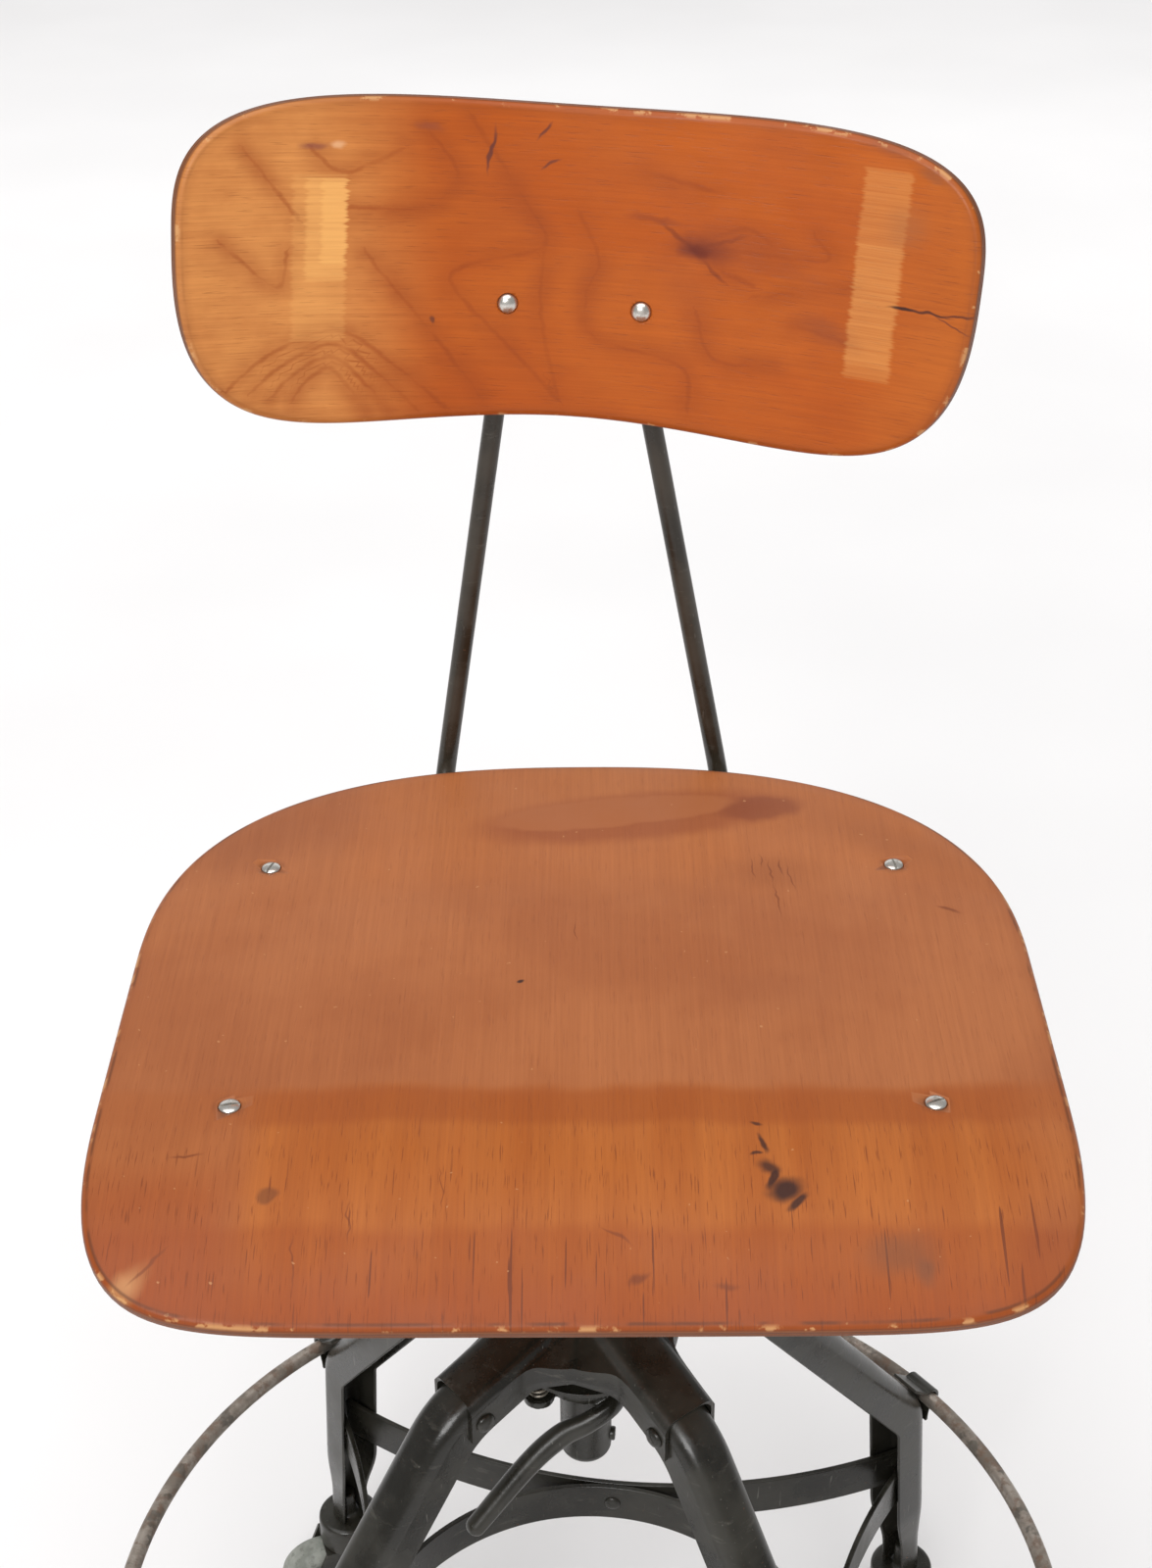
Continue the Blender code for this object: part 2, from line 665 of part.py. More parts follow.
def rod_path(side):
    """Middle line of a rod: back under the seat, up behind it and onto the panel."""
    def behind(drop, offset):
        spot = back_place(side * BACK_SCREW_X, -BACK_SCREW_DROP - drop, BACK_PLY + GAP + offset)
        return back_frame() @ spot

    x = side * ROD_HALF_SPACING
    front = Vector((x, guide_front() - ROD_FRONT_STUB, rod_level()))
    corner = Vector((x, seat_rear_edge(x) + ROD_CORNER_CLEAR + ROD_RADIUS, rod_level()))
    join = behind(PADDLE_REACH, ROD_RADIUS + GAP)
    path = round_corners([front, corner, join], [ROD_BEND], 5)
    path.append(behind(PADDLE_REACH / 2, (ROD_RADIUS + PADDLE_HALF_THICK) / 2))
    path.append(behind(PADDLE_TIP * 0.8, PADDLE_HALF_THICK))
    path.append(behind(0.0, PADDLE_HALF_THICK))
    path.append(behind(-PADDLE_TIP * 0.7, PADDLE_HALF_THICK))
    path.append(behind(-PADDLE_TIP, PADDLE_HALF_THICK))
    return path


def build_back_rods():
    flat = ((0.5, 0.5), (1.0, 0.0), (1.0, 0.0), (0.75, 0.0), (0.4, 0.0))
    for side, name in ((-1, "back_rod_left"), (1, "back_rod_right")):
        path = rod_path(side)
        frames = frames_along(path, Vector((1.0, 0.0, 0.0)))
        sizes = [(ROD_RADIUS, ROD_RADIUS)] * (len(path) - len(flat))
        for spread, roundness in flat:
            width = ROD_RADIUS + (PADDLE_HALF_WIDTH - ROD_RADIUS) * spread
            if roundness == 0.0:
                width = PADDLE_HALF_WIDTH * spread
            sizes.append((width, PADDLE_HALF_THICK + (ROD_RADIUS - PADDLE_HALF_THICK) * roundness))
        bm = bmesh.new()
        add_loops(bm, [ellipse_loop(frame, a, b, 10) for frame, (a, b) in zip(frames, sizes)])
        rod = add_object(name, to_mesh(bm, name), paint)
        tool = add_object(f"{name}_tool", back_hole_mesh(), None, None, back_screw_place(side))
        combine(rod, tool, "DIFFERENCE")


def guide_front():
    return SCREW_FRONT[1] - BAR_WIDTH / 2


def guide_rear():
    return SCREW_REAR[1] + BAR_WIDTH / 2


def build_rod_guides():
    """Tubes under the seat bars in which the back rods slide, each with a screw boss."""
    bore = ROD_RADIUS + SLIP
    outer = bore + GUIDE_WALL
    lay = Matrix.Rotation(-math.pi / 2, 4, "X")
    for side, name in ((-1, "rod_guide_left"), (1, "rod_guide_right")):
        low, high = guide_front(), guide_rear()
        tube = lathe(name, [(bore, high), (outer, high), (outer, low), (bore, low)], 16)
        tube.transform(lay)
        place = move(side * ROD_HALF_SPACING, 0.0, rod_level())
        guide = add_object(name, tube, paint, None, place)
        middle = (bore + outer) / 2
        boss = cylinder_mesh("boss", BOSS_RADIUS, -outer - BOSS_HEIGHT, -middle, 14)
        hole = cylinder_mesh("boss_hole", WING_SCREW_RADIUS + SLIP, -outer - 2 * BOSS_HEIGHT, -bore / 2, 12)
        spot = place @ move(0.0, WING_SCREW_Y, 0.0)
        combine(guide, add_object(f"{name}_boss", boss, None, None, spot), "UNION")
        combine(guide, add_object(f"{name}_hole", hole, None, None, spot), "DIFFERENCE")


def build_wing_screws():
    """Clamping screws under the guides, with a flat wing to turn them by."""
    bore = ROD_RADIUS + SLIP
    boss_end = -bore - GUIDE_WALL - BOSS_HEIGHT
    tip = -ROD_RADIUS - GAP
    collar = boss_end - GAP
    for side, name in ((-1, "wing_screw_left"), (1, "wing_screw_right")):
        neck = WING_SCREW_RADIUS * 1.8
        profile = [(0.0, tip), (WING_SCREW_RADIUS, tip), (WING_SCREW_RADIUS, collar), (neck, collar),
                   (neck, collar - WING_HALF_HEIGHT), (0.0, collar - WING_HALF_HEIGHT)]
        place = move(side * ROD_HALF_SPACING, WING_SCREW_Y, rod_level())
        screw = add_object(name, lathe(name, profile, 12), steel, None, place)
        bm = bmesh.new()
        bmesh.ops.create_uvsphere(bm, u_segments=14, v_segments=8, radius=1.0)
        bmesh.ops.scale(bm, verts=bm.verts, vec=(WING_HALF_SPAN, WING_HALF_THICK, WING_HALF_HEIGHT))
        wing = to_mesh(bm, "wing")
        spot = place @ move(0.0, 0.0, collar - WING_HALF_HEIGHT)
        combine(screw, add_object(f"{name}_wing", wing, None, None, spot), "UNION")


# ---- column and hub ------------------------------------------------------------------
def build_column(base):
    """Tube with a rounded closed lower end and a stop button on its side."""
    outer = COLUMN_RADIUS
    inner = COLUMN_RADIUS - COLUMN_WALL
    low = COLUMN_BOTTOM
    profile = [(0.0, low)]
    profile += arc((outer - COLUMN_END_ROUND, low + COLUMN_END_ROUND), COLUMN_END_ROUND, -math.pi / 2, 0.0, 3)
    profile += [(outer, column_top()), (inner, column_top()), (inner, low + 2 * COLUMN_WALL),
                (0.0, low + 2 * COLUMN_WALL)]
    column = add_object("column", lathe("column", profile, 28), paint, base)
    button = cylinder_mesh("button", STOP_RADIUS, inner + COLUMN_WALL / 2, outer + STOP_OUT, 12)
    place = move(0.0, 0.0, low + STOP_HEIGHT) @ Matrix.Rotation(math.pi / 2, 4, "Y")
    combine(column, add_object("stop_button", button, None, base, place), "UNION")


def ridge_height(reach):
    """Height of a leg's ridge line on its top stretch."""
    return LEG_BEND[1] + (LEG_BEND[0] - reach) * math.tan(LEG_SLOPE)


def hub_half_width():
    return LEG_HALF_WIDTH + GAP + HUB_SHEET


def sleeve_corner():
    """Angle from a sleeve's middle to the corner of its end."""
    return math.atan(hub_half_width() / HUB_SLEEVE_END)


def hub_reach(angle):
    """The hub's edge, at an angle from the nearest sleeve's middle."""
    if abs(angle) <= sleeve_corner():
        return HUB_SLEEVE_END / math.cos(angle)
    side = hub_half_width() / math.sin(abs(angle))
    return (side ** 8 + HUB_WEB_RADIUS ** 8) ** (1 / 8)


def hub_angles():
    """Angles for the hub's columns, close together at the sleeves' corners."""
    corner = sleeve_corner()
    half = [0.0, corner * 0.5, corner]
    half += [corner + (math.pi / 4 - corner) * share for share in (0.08, 0.2, 0.36, 0.56, 0.78)]
    return [-a for a in reversed(half[1:])] + half + [math.pi / 4]


def hub_top(reach, angle):
    """Height of the hub's outer face, rounded down towards the sleeves' sides."""
    along = reach * math.cos(angle)
    lift = (HUB_SHEET + 2 * GAP) / math.cos(LEG_SLOPE)
    aside = min(1.0, reach * math.sin(abs(angle)) / hub_half_width())
    return ridge_height(along) + lift - HUB_SHOULDER * aside ** 6


def build_hub(base):
    """Pressed cover: a sleeve over each leg's top, joined by webs with a curved skirt."""
    bm = bmesh.new()
    hole = COLUMN_RADIUS + SLIP + GUIDE_TUBE_WALL + 2 * GAP + HUB_SHEET * math.sin(LEG_SLOPE)
    columns = []
    for quarter in range(4):
        for angle in hub_angles():
            heading = math.radians(LEG_ANGLES[0] + 90 * quarter) + angle
            edge = hub_reach(angle)
            points = []
            for share in (0.0, 0.4, 0.75, 0.92, 1.0):
                reach = hole + (edge - hole) * share
                points.append((reach, hub_top(reach, angle)))
            blend = (1 - math.cos(4 * angle)) / 2
            skirt = HUB_ARM_SKIRT + (HUB_WEB_SKIRT - HUB_ARM_SKIRT) * blend
            points.append((edge, points[-1][1] - skirt))
            spoke = (math.cos(heading), math.sin(heading))
            columns.append([bm.verts.new((r * spoke[0], r * spoke[1], z)) for r, z in points])
    inside_sleeve = [abs(angle) <= sleeve_corner() for angle in hub_angles()] * 4
    for i, first in enumerate(columns):
        j = (i + 1) % len(columns)
        open_end = inside_sleeve[i] and inside_sleeve[j]
        rows = -1 if open_end else None
        second = columns[j]
        for a, b, c, d in list(zip(first, first[1:], second[1:], second))[:rows]:
            bm.faces.new((a, b, c, d))
    bmesh.ops.delete(bm, geom=[vert for vert in bm.verts if not vert.link_faces], context="VERTS")
    hub = add_object("hub", to_mesh(bm, "hub"), paint, base)
    shell = hub.modifiers.new("sheet", "SOLIDIFY")
    shell.thickness = HUB_SHEET
    shell.offset = -1.0
    shell.use_even_offset = True
    for number, heading in enumerate(LEG_ANGLES, 1):
        combine(hub, rivet_tool(f"hub_rivet_tool_{number}", base, heading), "DIFFERENCE")


def rivet_place(heading):
    return turn_z(heading) @ move(RIVET_REACH, 0.0, ridge_height(RIVET_REACH) - RIVET_DEPTH)


def rivet_tool(name, base, heading):
    lay = Matrix.Rotation(math.pi / 2, 4, "X")
    mesh = cylinder_mesh(name, RIVET_RADIUS + GAP, -2 * hub_half_width(), 2 * hub_half_width(), 12)
    return add_object(name, mesh, None, base, rivet_place(heading) @ lay)


def build_leg_rivets(base):
    """One rivet across each sleeve and the leg inside it, domed at both ends."""
    under = hub_half_width() + GAP
    lay = Matrix.Rotation(math.pi / 2, 4, "X")
    dome = [(RIVET_HEAD * a, under + RIVET_DOME * b) for a, b in arc((0, 0), 1.0, 0.0, math.pi / 2, 2)]
    half = [(RIVET_RADIUS, under)] + dome[:-1] + [(0.0, under + RIVET_DOME)]
    profile = [(r, -z) for r, z in reversed(half)] + half
    for number, heading in enumerate(LEG_ANGLES, 1):
        name = f"leg_rivet_{number}"
        add_object(name, lathe(name, profile, 12), paint, base, rivet_place(heading) @ lay)


def guide_plate_top():
    return LEG_BEND[1] - GUIDE_PLATE_DROP


def lever_level():
    return guide_plate_top() - GUIDE_PLATE_THICK - LEVER_DROP


def build_column_guide(base):
    """Tube the column slides in, with a plate below the hub and ears for the lever."""
    bore = COLUMN_RADIUS + SLIP
    outer = bore + GUIDE_TUBE_WALL
    plate_top = guide_plate_top()
    plate_low = plate_top - GUIDE_PLATE_THICK
    hub_crown = max(hub_top(outer + GAP, angle) for angle in hub_angles()) + GAP
    top = hub_crown + GUIDE_TUBE_RISE
    low = plate_low - GUIDE_TUBE_BELOW
    profile = [(bore, top), (outer + GUIDE_COLLAR, top), (outer + GUIDE_COLLAR, hub_crown),
               (outer, hub_crown), (outer, plate_top), (GUIDE_PLATE_RADIUS, plate_top),
               (GUIDE_PLATE_RADIUS, plate_low), (outer, plate_low), (outer, low), (bore, low)]
    guide = add_object("column_guide", lathe("column_guide", profile, 24), paint, base)
    for side in (-1, 1):
        inner_face = side * (LEVER_BARREL_HALF + GAP)
        outer_face = inner_face + side * EAR_THICK
        spans = sorted((inner_face, outer_face))
        ear = box_bm((LEVER_PIVOT_X - LEVER_BARREL, spans[0], lever_level() - LEVER_BARREL),
                     (LEVER_PIVOT_X + LEVER_BARREL, spans[1], plate_low + GUIDE_PLATE_THICK / 2))
        low_edges = [edge for edge in ear.edges
                     if all(v.co.z < lever_level() for v in edge.verts)
                     and abs(edge.verts[0].co.y - edge.verts[1].co.y) > EAR_THICK / 2]
        bmesh.ops.bevel(ear, geom=low_edges, offset=LEVER_BARREL * EAR_ROUND, segments=3, profile=0.5,
                        affect="EDGES")
        combine(guide, add_object(f"ear_tool_{side + 2}", to_mesh(ear, "ear"), None, base), "UNION")
    combine(guide, pin_tool("ear_hole_tool", base), "DIFFERENCE")


def pin_place():
    return move(LEVER_PIVOT_X, 0.0, lever_level()) @ Matrix.Rotation(math.pi / 2, 4, "X")


def pin_tool(name, base):
    reach = LEVER_BARREL_HALF + 3 * EAR_THICK
    mesh = cylinder_mesh(name, PIN_RADIUS + SLIP, -reach, reach, 12)
    return add_object(name, mesh, None, base, pin_place())


def build_lever_pin(base):
    half = LEVER_BARREL_HALF + GAP + EAR_THICK
    head = PIN_HEAD * PIN_RADIUS
    profile = [(0.0, -half), (PIN_RADIUS, -half), (PIN_RADIUS, half + GAP), (head, half + GAP),
               (head, half + PIN_RADIUS), (0.0, half + PIN_RADIUS)]
    add_object("lever_pin", lathe("lever_pin", profile, 12), steel, base, pin_place())


def build_lock_lever(base):
    """Arm round the column's front with a handle, joined to a collar that grips the column."""
    level = lever_level()
    pivot = Vector((LEVER_PIVOT_X, 0.0, level))
    path = smooth_line([pivot + Vector(step) for step in LEVER_STEPS], 3)
    sizes = smooth_line([(a, b, 0.0) for a, b in zip(LEVER_HALF_WIDTHS, LEVER_HALF_HEIGHTS)], 3)
    frames = frames_along(path, Vector(LEVER_SIDE))
    loops = [ellipse_loop(frame, size.x, size.y, 10) for frame, size in zip(frames, sizes)]
    tip_place, tip_across, tip_upper = frames[-1]
    onward = (path[-1] - path[-2]).normalized()
    for share, grow in LEVER_TIP:
        tip = (tip_place + onward * LEVER_HALF_WIDTHS[-1] * grow, tip_across, tip_upper)
        loops.append(ellipse_loop(tip, LEVER_HALF_WIDTHS[-1] * share, LEVER_HALF_HEIGHTS[-1] * share, 10))
    bm = bmesh.new()
    add_loops(bm, loops)
    lever = add_object("lock_lever", to_mesh(bm, "lock_lever"), paint, base)
    high = level + PAWL_THICK / 2
    low = level - PAWL_THICK / 2
    collar = cylinder_mesh("collar", PAWL_RADIUS, low, high, 24)
    pad = cylinder_mesh("pad", SPRING_PAD, low, high, 14)
    barrel = cylinder_mesh("barrel", LEVER_BARREL, -LEVER_BARREL_HALF, LEVER_BARREL_HALF, 14)
    side = LEVER_BARREL_HALF * TONGUE_SHARE
    tongue = to_mesh(box_bm((COLUMN_RADIUS, -side, low), (LEVER_PIVOT_X, side, high)), "tongue")
    shaft = cylinder_mesh("shaft", COLUMN_RADIUS + PAWL_SLACK, low - LEVER_DROP, high + LEVER_DROP, 24)
    combine(lever, add_object("lever_collar", collar, None, base), "UNION")
    combine(lever, add_object("lever_pad", pad, None, base, move(SPRING_X, SPRING_Y, 0.0)), "UNION")
    combine(lever, add_object("lever_tongue", tongue, None, base), "UNION")
    combine(lever, add_object("lever_barrel", barrel, None, base, pin_place()), "UNION")
    combine(lever, add_object("lever_shaft_tool", shaft, None, base), "DIFFERENCE")
    combine(lever, pin_tool("lever_pin_tool", base), "DIFFERENCE")


def build_lever_spring(base):
    """Coil spring that presses the lever's collar down, off the guide plate."""
    low = lever_level() + PAWL_THICK / 2 + GAP + SPRING_WIRE
    high = guide_plate_top() - GUIDE_PLATE_THICK - GAP - SPRING_WIRE
    steps = 10 * SPRING_TURNS
    loops = []
    for k in range(steps + 1):
        turn = 2 * math.pi * SPRING_TURNS * k / steps
        out = Vector((math.cos(turn), math.sin(turn), 0.0))
        middle = Vector((SPRING_X, SPRING_Y, low + (high - low) * k / steps)) + out * SPRING_RADIUS
        loops.append(ellipse_loop((middle, out, Vector((0, 0, 1))), SPRING_WIRE, SPRING_WIRE, 4))
    bm = bmesh.new()
    add_loops(bm, loops)
    add_object("lever_spring", to_mesh(bm, "lever_spring"), steel, base)


# ---- legs ----------------------------------------------------------------------------
def leg_path():
    """A leg's ridge line, from inside the hub to the caster."""
    start = (LEG_START, 0.0, ridge_height(LEG_START))
    bend = (LEG_BEND[0], 0.0, LEG_BEND[1])
    knee = (LEG_KNEE[0], 0.0, LEG_KNEE[1])
    foot = (LEG_FOOT[0], 0.0, LEG_FOOT[1])
    path = round_corners([start, bend, knee, foot], [LEG_BEND_RADIUS, LEG_KNEE_RADIUS], 3)
    lower = [knee_to_foot(height) for height in
             (TAPER_TOP, (TAPER_TOP + TAPER_END) / 2, TAPER_END)]
    return path[:-1] + lower + path[-1:]


def leg_flare():
    """Lean of the lower leg, outwards from the vertical."""
    return math.atan2(LEG_FOOT[0] - LEG_KNEE[0], LEG_KNEE[1] - LEG_FOOT[1])


def knee_to_foot(height):
    share = (LEG_KNEE[1] - height) / (LEG_KNEE[1] - LEG_FOOT[1])
    return Vector((LEG_KNEE[0] + (LEG_FOOT[0] - LEG_KNEE[0]) * share, 0.0, height))


def taper(height):
    share = min(1.0, max(0.0, (TAPER_TOP - height) / (TAPER_TOP - TAPER_END)))
    return share * share * (3 - 2 * share)


def channel_section(half, depth, sheet, corner):
    """U section round (across, out) with its back at out = 0 and its mouth inwards."""
    outer = [(half, -depth)] + arc((half - corner, -corner), corner, 0.0, math.pi / 2, 3)
    inner_corner = corner - sheet
    inner = [(half - sheet, -depth)] + arc((half - corner, -corner), inner_corner, 0.0, math.pi / 2, 2)
    mirrored_outer = [(-a, b) for a, b in reversed(outer)]
    mirrored_inner = [(-a, b) for a, b in reversed(inner)]
    return outer + mirrored_outer + list(reversed(mirrored_inner)) + list(reversed(inner))


def build_legs(base):
    path = leg_path()
    frames = frames_along(path, Vector((0.0, 1.0, 0.0)))
    loops = []
    for place, across, _ in frames:
        share = taper(place.z)
        half = LEG_HALF_WIDTH + (FOOT_HALF_WIDTH - LEG_HALF_WIDTH) * share
        depth = LEG_DEPTH + (FOOT_DEPTH - LEG_DEPTH) * share
        corner = LEG_CORNER + (FOOT_HALF_WIDTH * FOOT_ROUND - LEG_CORNER) * share
        section = channel_section(half, depth, LEG_SHEET, corner)
        outward = leg_outward(path, place)
        loops.append([place + across * a + outward * b for a, b in section])
    bm = bmesh.new()
    add_loops(bm, loops)
    mesh = to_mesh(bm, "leg")
    for number, heading in enumerate(LEG_ANGLES, 1):
        leg = add_object(f"leg_{number}", mesh.copy(), paint, base, turn_z(heading))
        combine(leg, rivet_tool(f"leg_rivet_tool_{number}", base, heading), "DIFFERENCE")


def leg_outward(path, place):
    """Direction out of the leg's back, square to its ridge line."""
    i = path.index(place)
    along = (path[min(i + 1, len(path) - 1)] - path[max(i - 1, 0)]).normalized()
    return Vector((-along.z, 0.0, along.x))


# ---- ring, clips, straps and hoop ----------------------------------------------------
def ring_radius():
    return LEG_KNEE[0] + GAP + RING_ROD


def build_foot_ring(base):
    bm = bmesh.new()
    loops = []
    for k in range(64):
        turn = 2 * math.pi * k / 64
        out = Vector((math.cos(turn), math.sin(turn), 0.0))
        frame = (out * ring_radius() + Vector((0, 0, LEG_KNEE[1])), out, Vector((0, 0, 1)))
        loops.append(ellipse_loop(frame, RING_ROD, RING_ROD, 7))
    add_loops(bm, loops, closed_path=True)
    add_object("foot_ring", to_mesh(bm, "foot_ring"), worn_steel, base)


def build_ring_clips(base):
    """Bands that hold the ring against each leg's knee."""
    bore = RING_ROD + 2 * GAP
    outer = bore + CLIP_SHEET
    lean = math.atan2(LEG_KNEE[0] - LEG_BEND[0], LEG_BEND[1] - LEG_KNEE[1])
    flare = leg_flare()
    up = Vector((-math.sin(lean), 0.0, math.cos(lean)))
    down = Vector((math.sin(flare), 0.0, -math.cos(flare)))
    out_up = Vector((math.cos(lean), 0.0, math.sin(lean)))
    out_down = Vector((math.cos(flare), 0.0, math.sin(flare)))
    centre = Vector((ring_radius(), 0.0, LEG_KNEE[1]))
    knee = Vector((LEG_KNEE[0], 0.0, LEG_KNEE[1]))
    inner_edge = []
    outer_edge = []
    upper_foot = knee + out_up * 2 * GAP + up * (RING_ROD + CLIP_TAIL)
    lower_foot = knee + out_down * 2 * GAP + down * (RING_ROD + CLIP_TAIL)
    inner_edge.append(upper_foot)
    outer_edge.append(upper_foot + out_up * CLIP_SHEET)
    start = math.pi / 2 + lean * CLIP_FOLLOW
    stop = -math.pi / 2 - flare * CLIP_FOLLOW
    for k in range(9):
        angle = start + (stop - start) * k / 8
        spoke = Vector((math.cos(angle), 0.0, math.sin(angle)))
        inner_edge.append(centre + spoke * bore)
        outer_edge.append(centre + spoke * outer)
    inner_edge.append(lower_foot)
    outer_edge.append(lower_foot + out_down * CLIP_SHEET)
    outline = outer_edge + list(reversed(inner_edge))
    bm = bmesh.new()
    shift = Vector((0.0, CLIP_HALF_WIDTH, 0.0))
    add_loops(bm, [[p - shift for p in outline], [p + shift for p in outline]])
    mesh = to_mesh(bm, "ring_clip")
    for number, heading in enumerate(LEG_ANGLES, 1):
        add_object(f"ring_clip_{number}", mesh.copy(), paint, base, turn_z(heading))


def strap_outline(points, thickness):
    """A plan outline of the given thickness on a curve, first one side, then the other."""
    frames = frames_along(points, Vector((0, 0, 1)))
    sides = [p + upper * thickness / 2 for p, _, upper in frames]
    others = [p - upper * thickness / 2 for p, _, upper in frames]
    return sides, others


def build_straps(base):
    """Four bowed bars from leg to leg that touch the hoop at their middles."""
    middle = HOOP_RADIUS + GAP + STRAP_THICK
    back = knee_to_foot(STRAP_LEVEL).x - LEG_SHEET - STRAP_END_BACK
    aside = LEG_HALF_WIDTH - LEG_SHEET - STRAP_END_SIDE
    heading = math.radians(LEG_ANGLES[0])
    end_x = back * math.cos(heading) - aside * math.sin(heading)
    end_y = back * math.sin(heading) + aside * math.cos(heading)
    sag = end_y - middle
    radius = (end_x ** 2 + sag ** 2) / (2 * sag)
    reach = math.asin(end_x / radius)
    points = []
    for k in range(17):
        angle = -reach + 2 * reach * k / 16
        bow = middle + radius * (1 - math.cos(angle))
        points.append(Vector((radius * math.sin(angle), bow, STRAP_LEVEL)))
    sides, others = strap_outline(points, STRAP_THICK)
    half = Vector((0, 0, STRAP_HEIGHT / 2))
    loops = [[a - half, a + half, b + half, b - half] for a, b in zip(sides, others)]
    bm = bmesh.new()
    add_loops(bm, loops)
    mesh = to_mesh(bm, "brace_strap")
    for number, quarter in enumerate((0, 90, 180, 270), 1):
        add_object(f"brace_strap_{number}", mesh.copy(), paint, base, turn_z(quarter))


def build_hoop(base):
    half = STRAP_HEIGHT / 2
    outer = HOOP_RADIUS + STRAP_THICK / 2
    inner = HOOP_RADIUS - STRAP_THICK / 2
    profile = [(inner, STRAP_LEVEL + half), (outer, STRAP_LEVEL + half), (outer, STRAP_LEVEL - half),
               (inner, STRAP_LEVEL - half)]
    add_object("brace_hoop", lathe("brace_hoop", profile, 48), paint, base)


# ---- casters -------------------------------------------------------------------------
def caster_reach():
    return LEG_FOOT[0] - LEG_SHEET - STEM_CLEAR - STEM_RADIUS


def cap_top():
    """Just under the lowest corner of the leg's slanting end."""
    return LEG_FOOT[1] - FOOT_DEPTH * math.sin(leg_flare()) - GAP


def fork_top():
    return cap_top() - CAP_HEIGHT - GAP


def build_caster_cap(name, parent):
    """Stem that stands in the leg's foot, with the round cap over the swivel."""
    top = cap_top()
    low = top - CAP_HEIGHT
    soft = CAP_RADIUS * CAP_ROUND
    profile = [(0.0, top + STEM_LENGTH), (STEM_RADIUS, top + STEM_LENGTH), (STEM_RADIUS, top)]
    profile += [(CAP_RADIUS - soft * 2, top), (CAP_RADIUS - soft, top - soft * 0.4),
                (CAP_RADIUS, top - soft * 1.6), (CAP_RADIUS, low), (CAP_RADIUS - CAP_WALL, low),
                (CAP_RADIUS - CAP_WALL, low + CAP_WALL * 2),
                (STEM_RADIUS, low + CAP_WALL * 2), (STEM_RADIUS, low), (0.0, low)]
    add_object(name, lathe(name, profile, 18), paint, parent)


def build_caster_fork(name, parent):
    """Bent fork under the cap: a round top plate and a cheek on each side of the wheel."""
    top = fork_top()
    inner = WHEEL_HALF_WIDTH + FORK_CLEAR
    outer = inner + FORK_SHEET
    disc = cylinder_mesh(name, CAP_RADIUS - CAP_WALL, top - FORK_SHEET, top, 16)
    fork = add_object(name, disc, paint, parent)
    low = WHEEL_RADIUS
    eye = AXLE_HEAD + FORK_EYE_RIM
    rear = CASTER_TRAIL * FORK_TOP_REACH
    outline = [(-FORK_FRONT, top), (rear, top), (CASTER_TRAIL + eye, low + eye * 0.6)]
    outline += arc((CASTER_TRAIL, low), eye, 0.3, -math.pi * 0.8, 4)
    outline += [(-FORK_FRONT, top - FORK_FRONT_DEPTH)]
    for side in (-1, 1):
        near, far = sorted((side * inner, side * outer))
        bm = bmesh.new()
        add_loops(bm, [[Vector((x, y, z)) for x, z in outline] for y in (near, far)])
        cheek = add_object(f"{name}_cheek_{side + 2}", to_mesh(bm, "cheek"), None, parent)
        combine(fork, cheek, "UNION")
    bridge = to_mesh(box_bm((-FORK_FRONT, -outer, top - FORK_SHEET), (rear, outer, top)), "bridge")
    combine(fork, add_object(f"{name}_bridge", bridge, None, parent), "UNION")
    hole = cylinder_mesh("axle_hole", AXLE_RADIUS * NECK_SHARE + GAP, -2 * outer, 2 * outer, 10)
    place = move(CASTER_TRAIL, 0.0, WHEEL_RADIUS) @ Matrix.Rotation(math.pi / 2, 4, "X")
    combine(fork, add_object(f"{name}_axle_tool", hole, None, parent, place), "DIFFERENCE")


def build_wheel(name, axle_name, parent):
    """Solid tyre wheel on its axle."""
    half = WHEEL_HALF_WIDTH
    lay = move(CASTER_TRAIL, 0.0, WHEEL_RADIUS) @ Matrix.Rotation(math.pi / 2, 4, "X")
    side_end = WHEEL_RADIUS - WHEEL_CROWN
    crown = arc((side_end, half - WHEEL_CROWN), WHEEL_CROWN, math.pi / 2, 0.0, 2)
    upper = [(WHEEL_BORE, half), (side_end, half)] + crown[1:]
    profile = upper + [(r, -z) for r, z in reversed(upper)]
    add_object(name, lathe(name, profile, 24), rubber, parent, lay)
    outer = WHEEL_HALF_WIDTH + FORK_CLEAR + FORK_SHEET
    neck = AXLE_RADIUS * NECK_SHARE
    inner = WHEEL_HALF_WIDTH + FORK_CLEAR - GAP
    side = [(AXLE_RADIUS, inner), (neck, inner), (neck, outer + GAP), (AXLE_HEAD, outer + GAP),
            (AXLE_HEAD * AXLE_CHAMFER, outer + GAP + AXLE_HEAD_THICK), (0.0, outer + GAP + AXLE_HEAD_THICK)]
    profile = [(r, -z) for r, z in reversed(side)] + side
    add_object(axle_name, lathe(axle_name, profile, 9), steel, parent, lay)


def build_casters(base):
    for number, (heading, trail) in enumerate(zip(LEG_ANGLES, CASTER_DIRECTIONS), 1):
        spot = turn_z(heading) @ move(caster_reach(), 0.0, 0.0)
        axis = make_empty(f"caster_axis_{number}", spot @ turn_z(trail - heading), base)
        build_caster_cap(f"caster_cap_{number}", axis)
        build_caster_fork(f"caster_fork_{number}", axis)
        build_wheel(f"caster_wheel_{number}", f"caster_axle_{number}", axis)


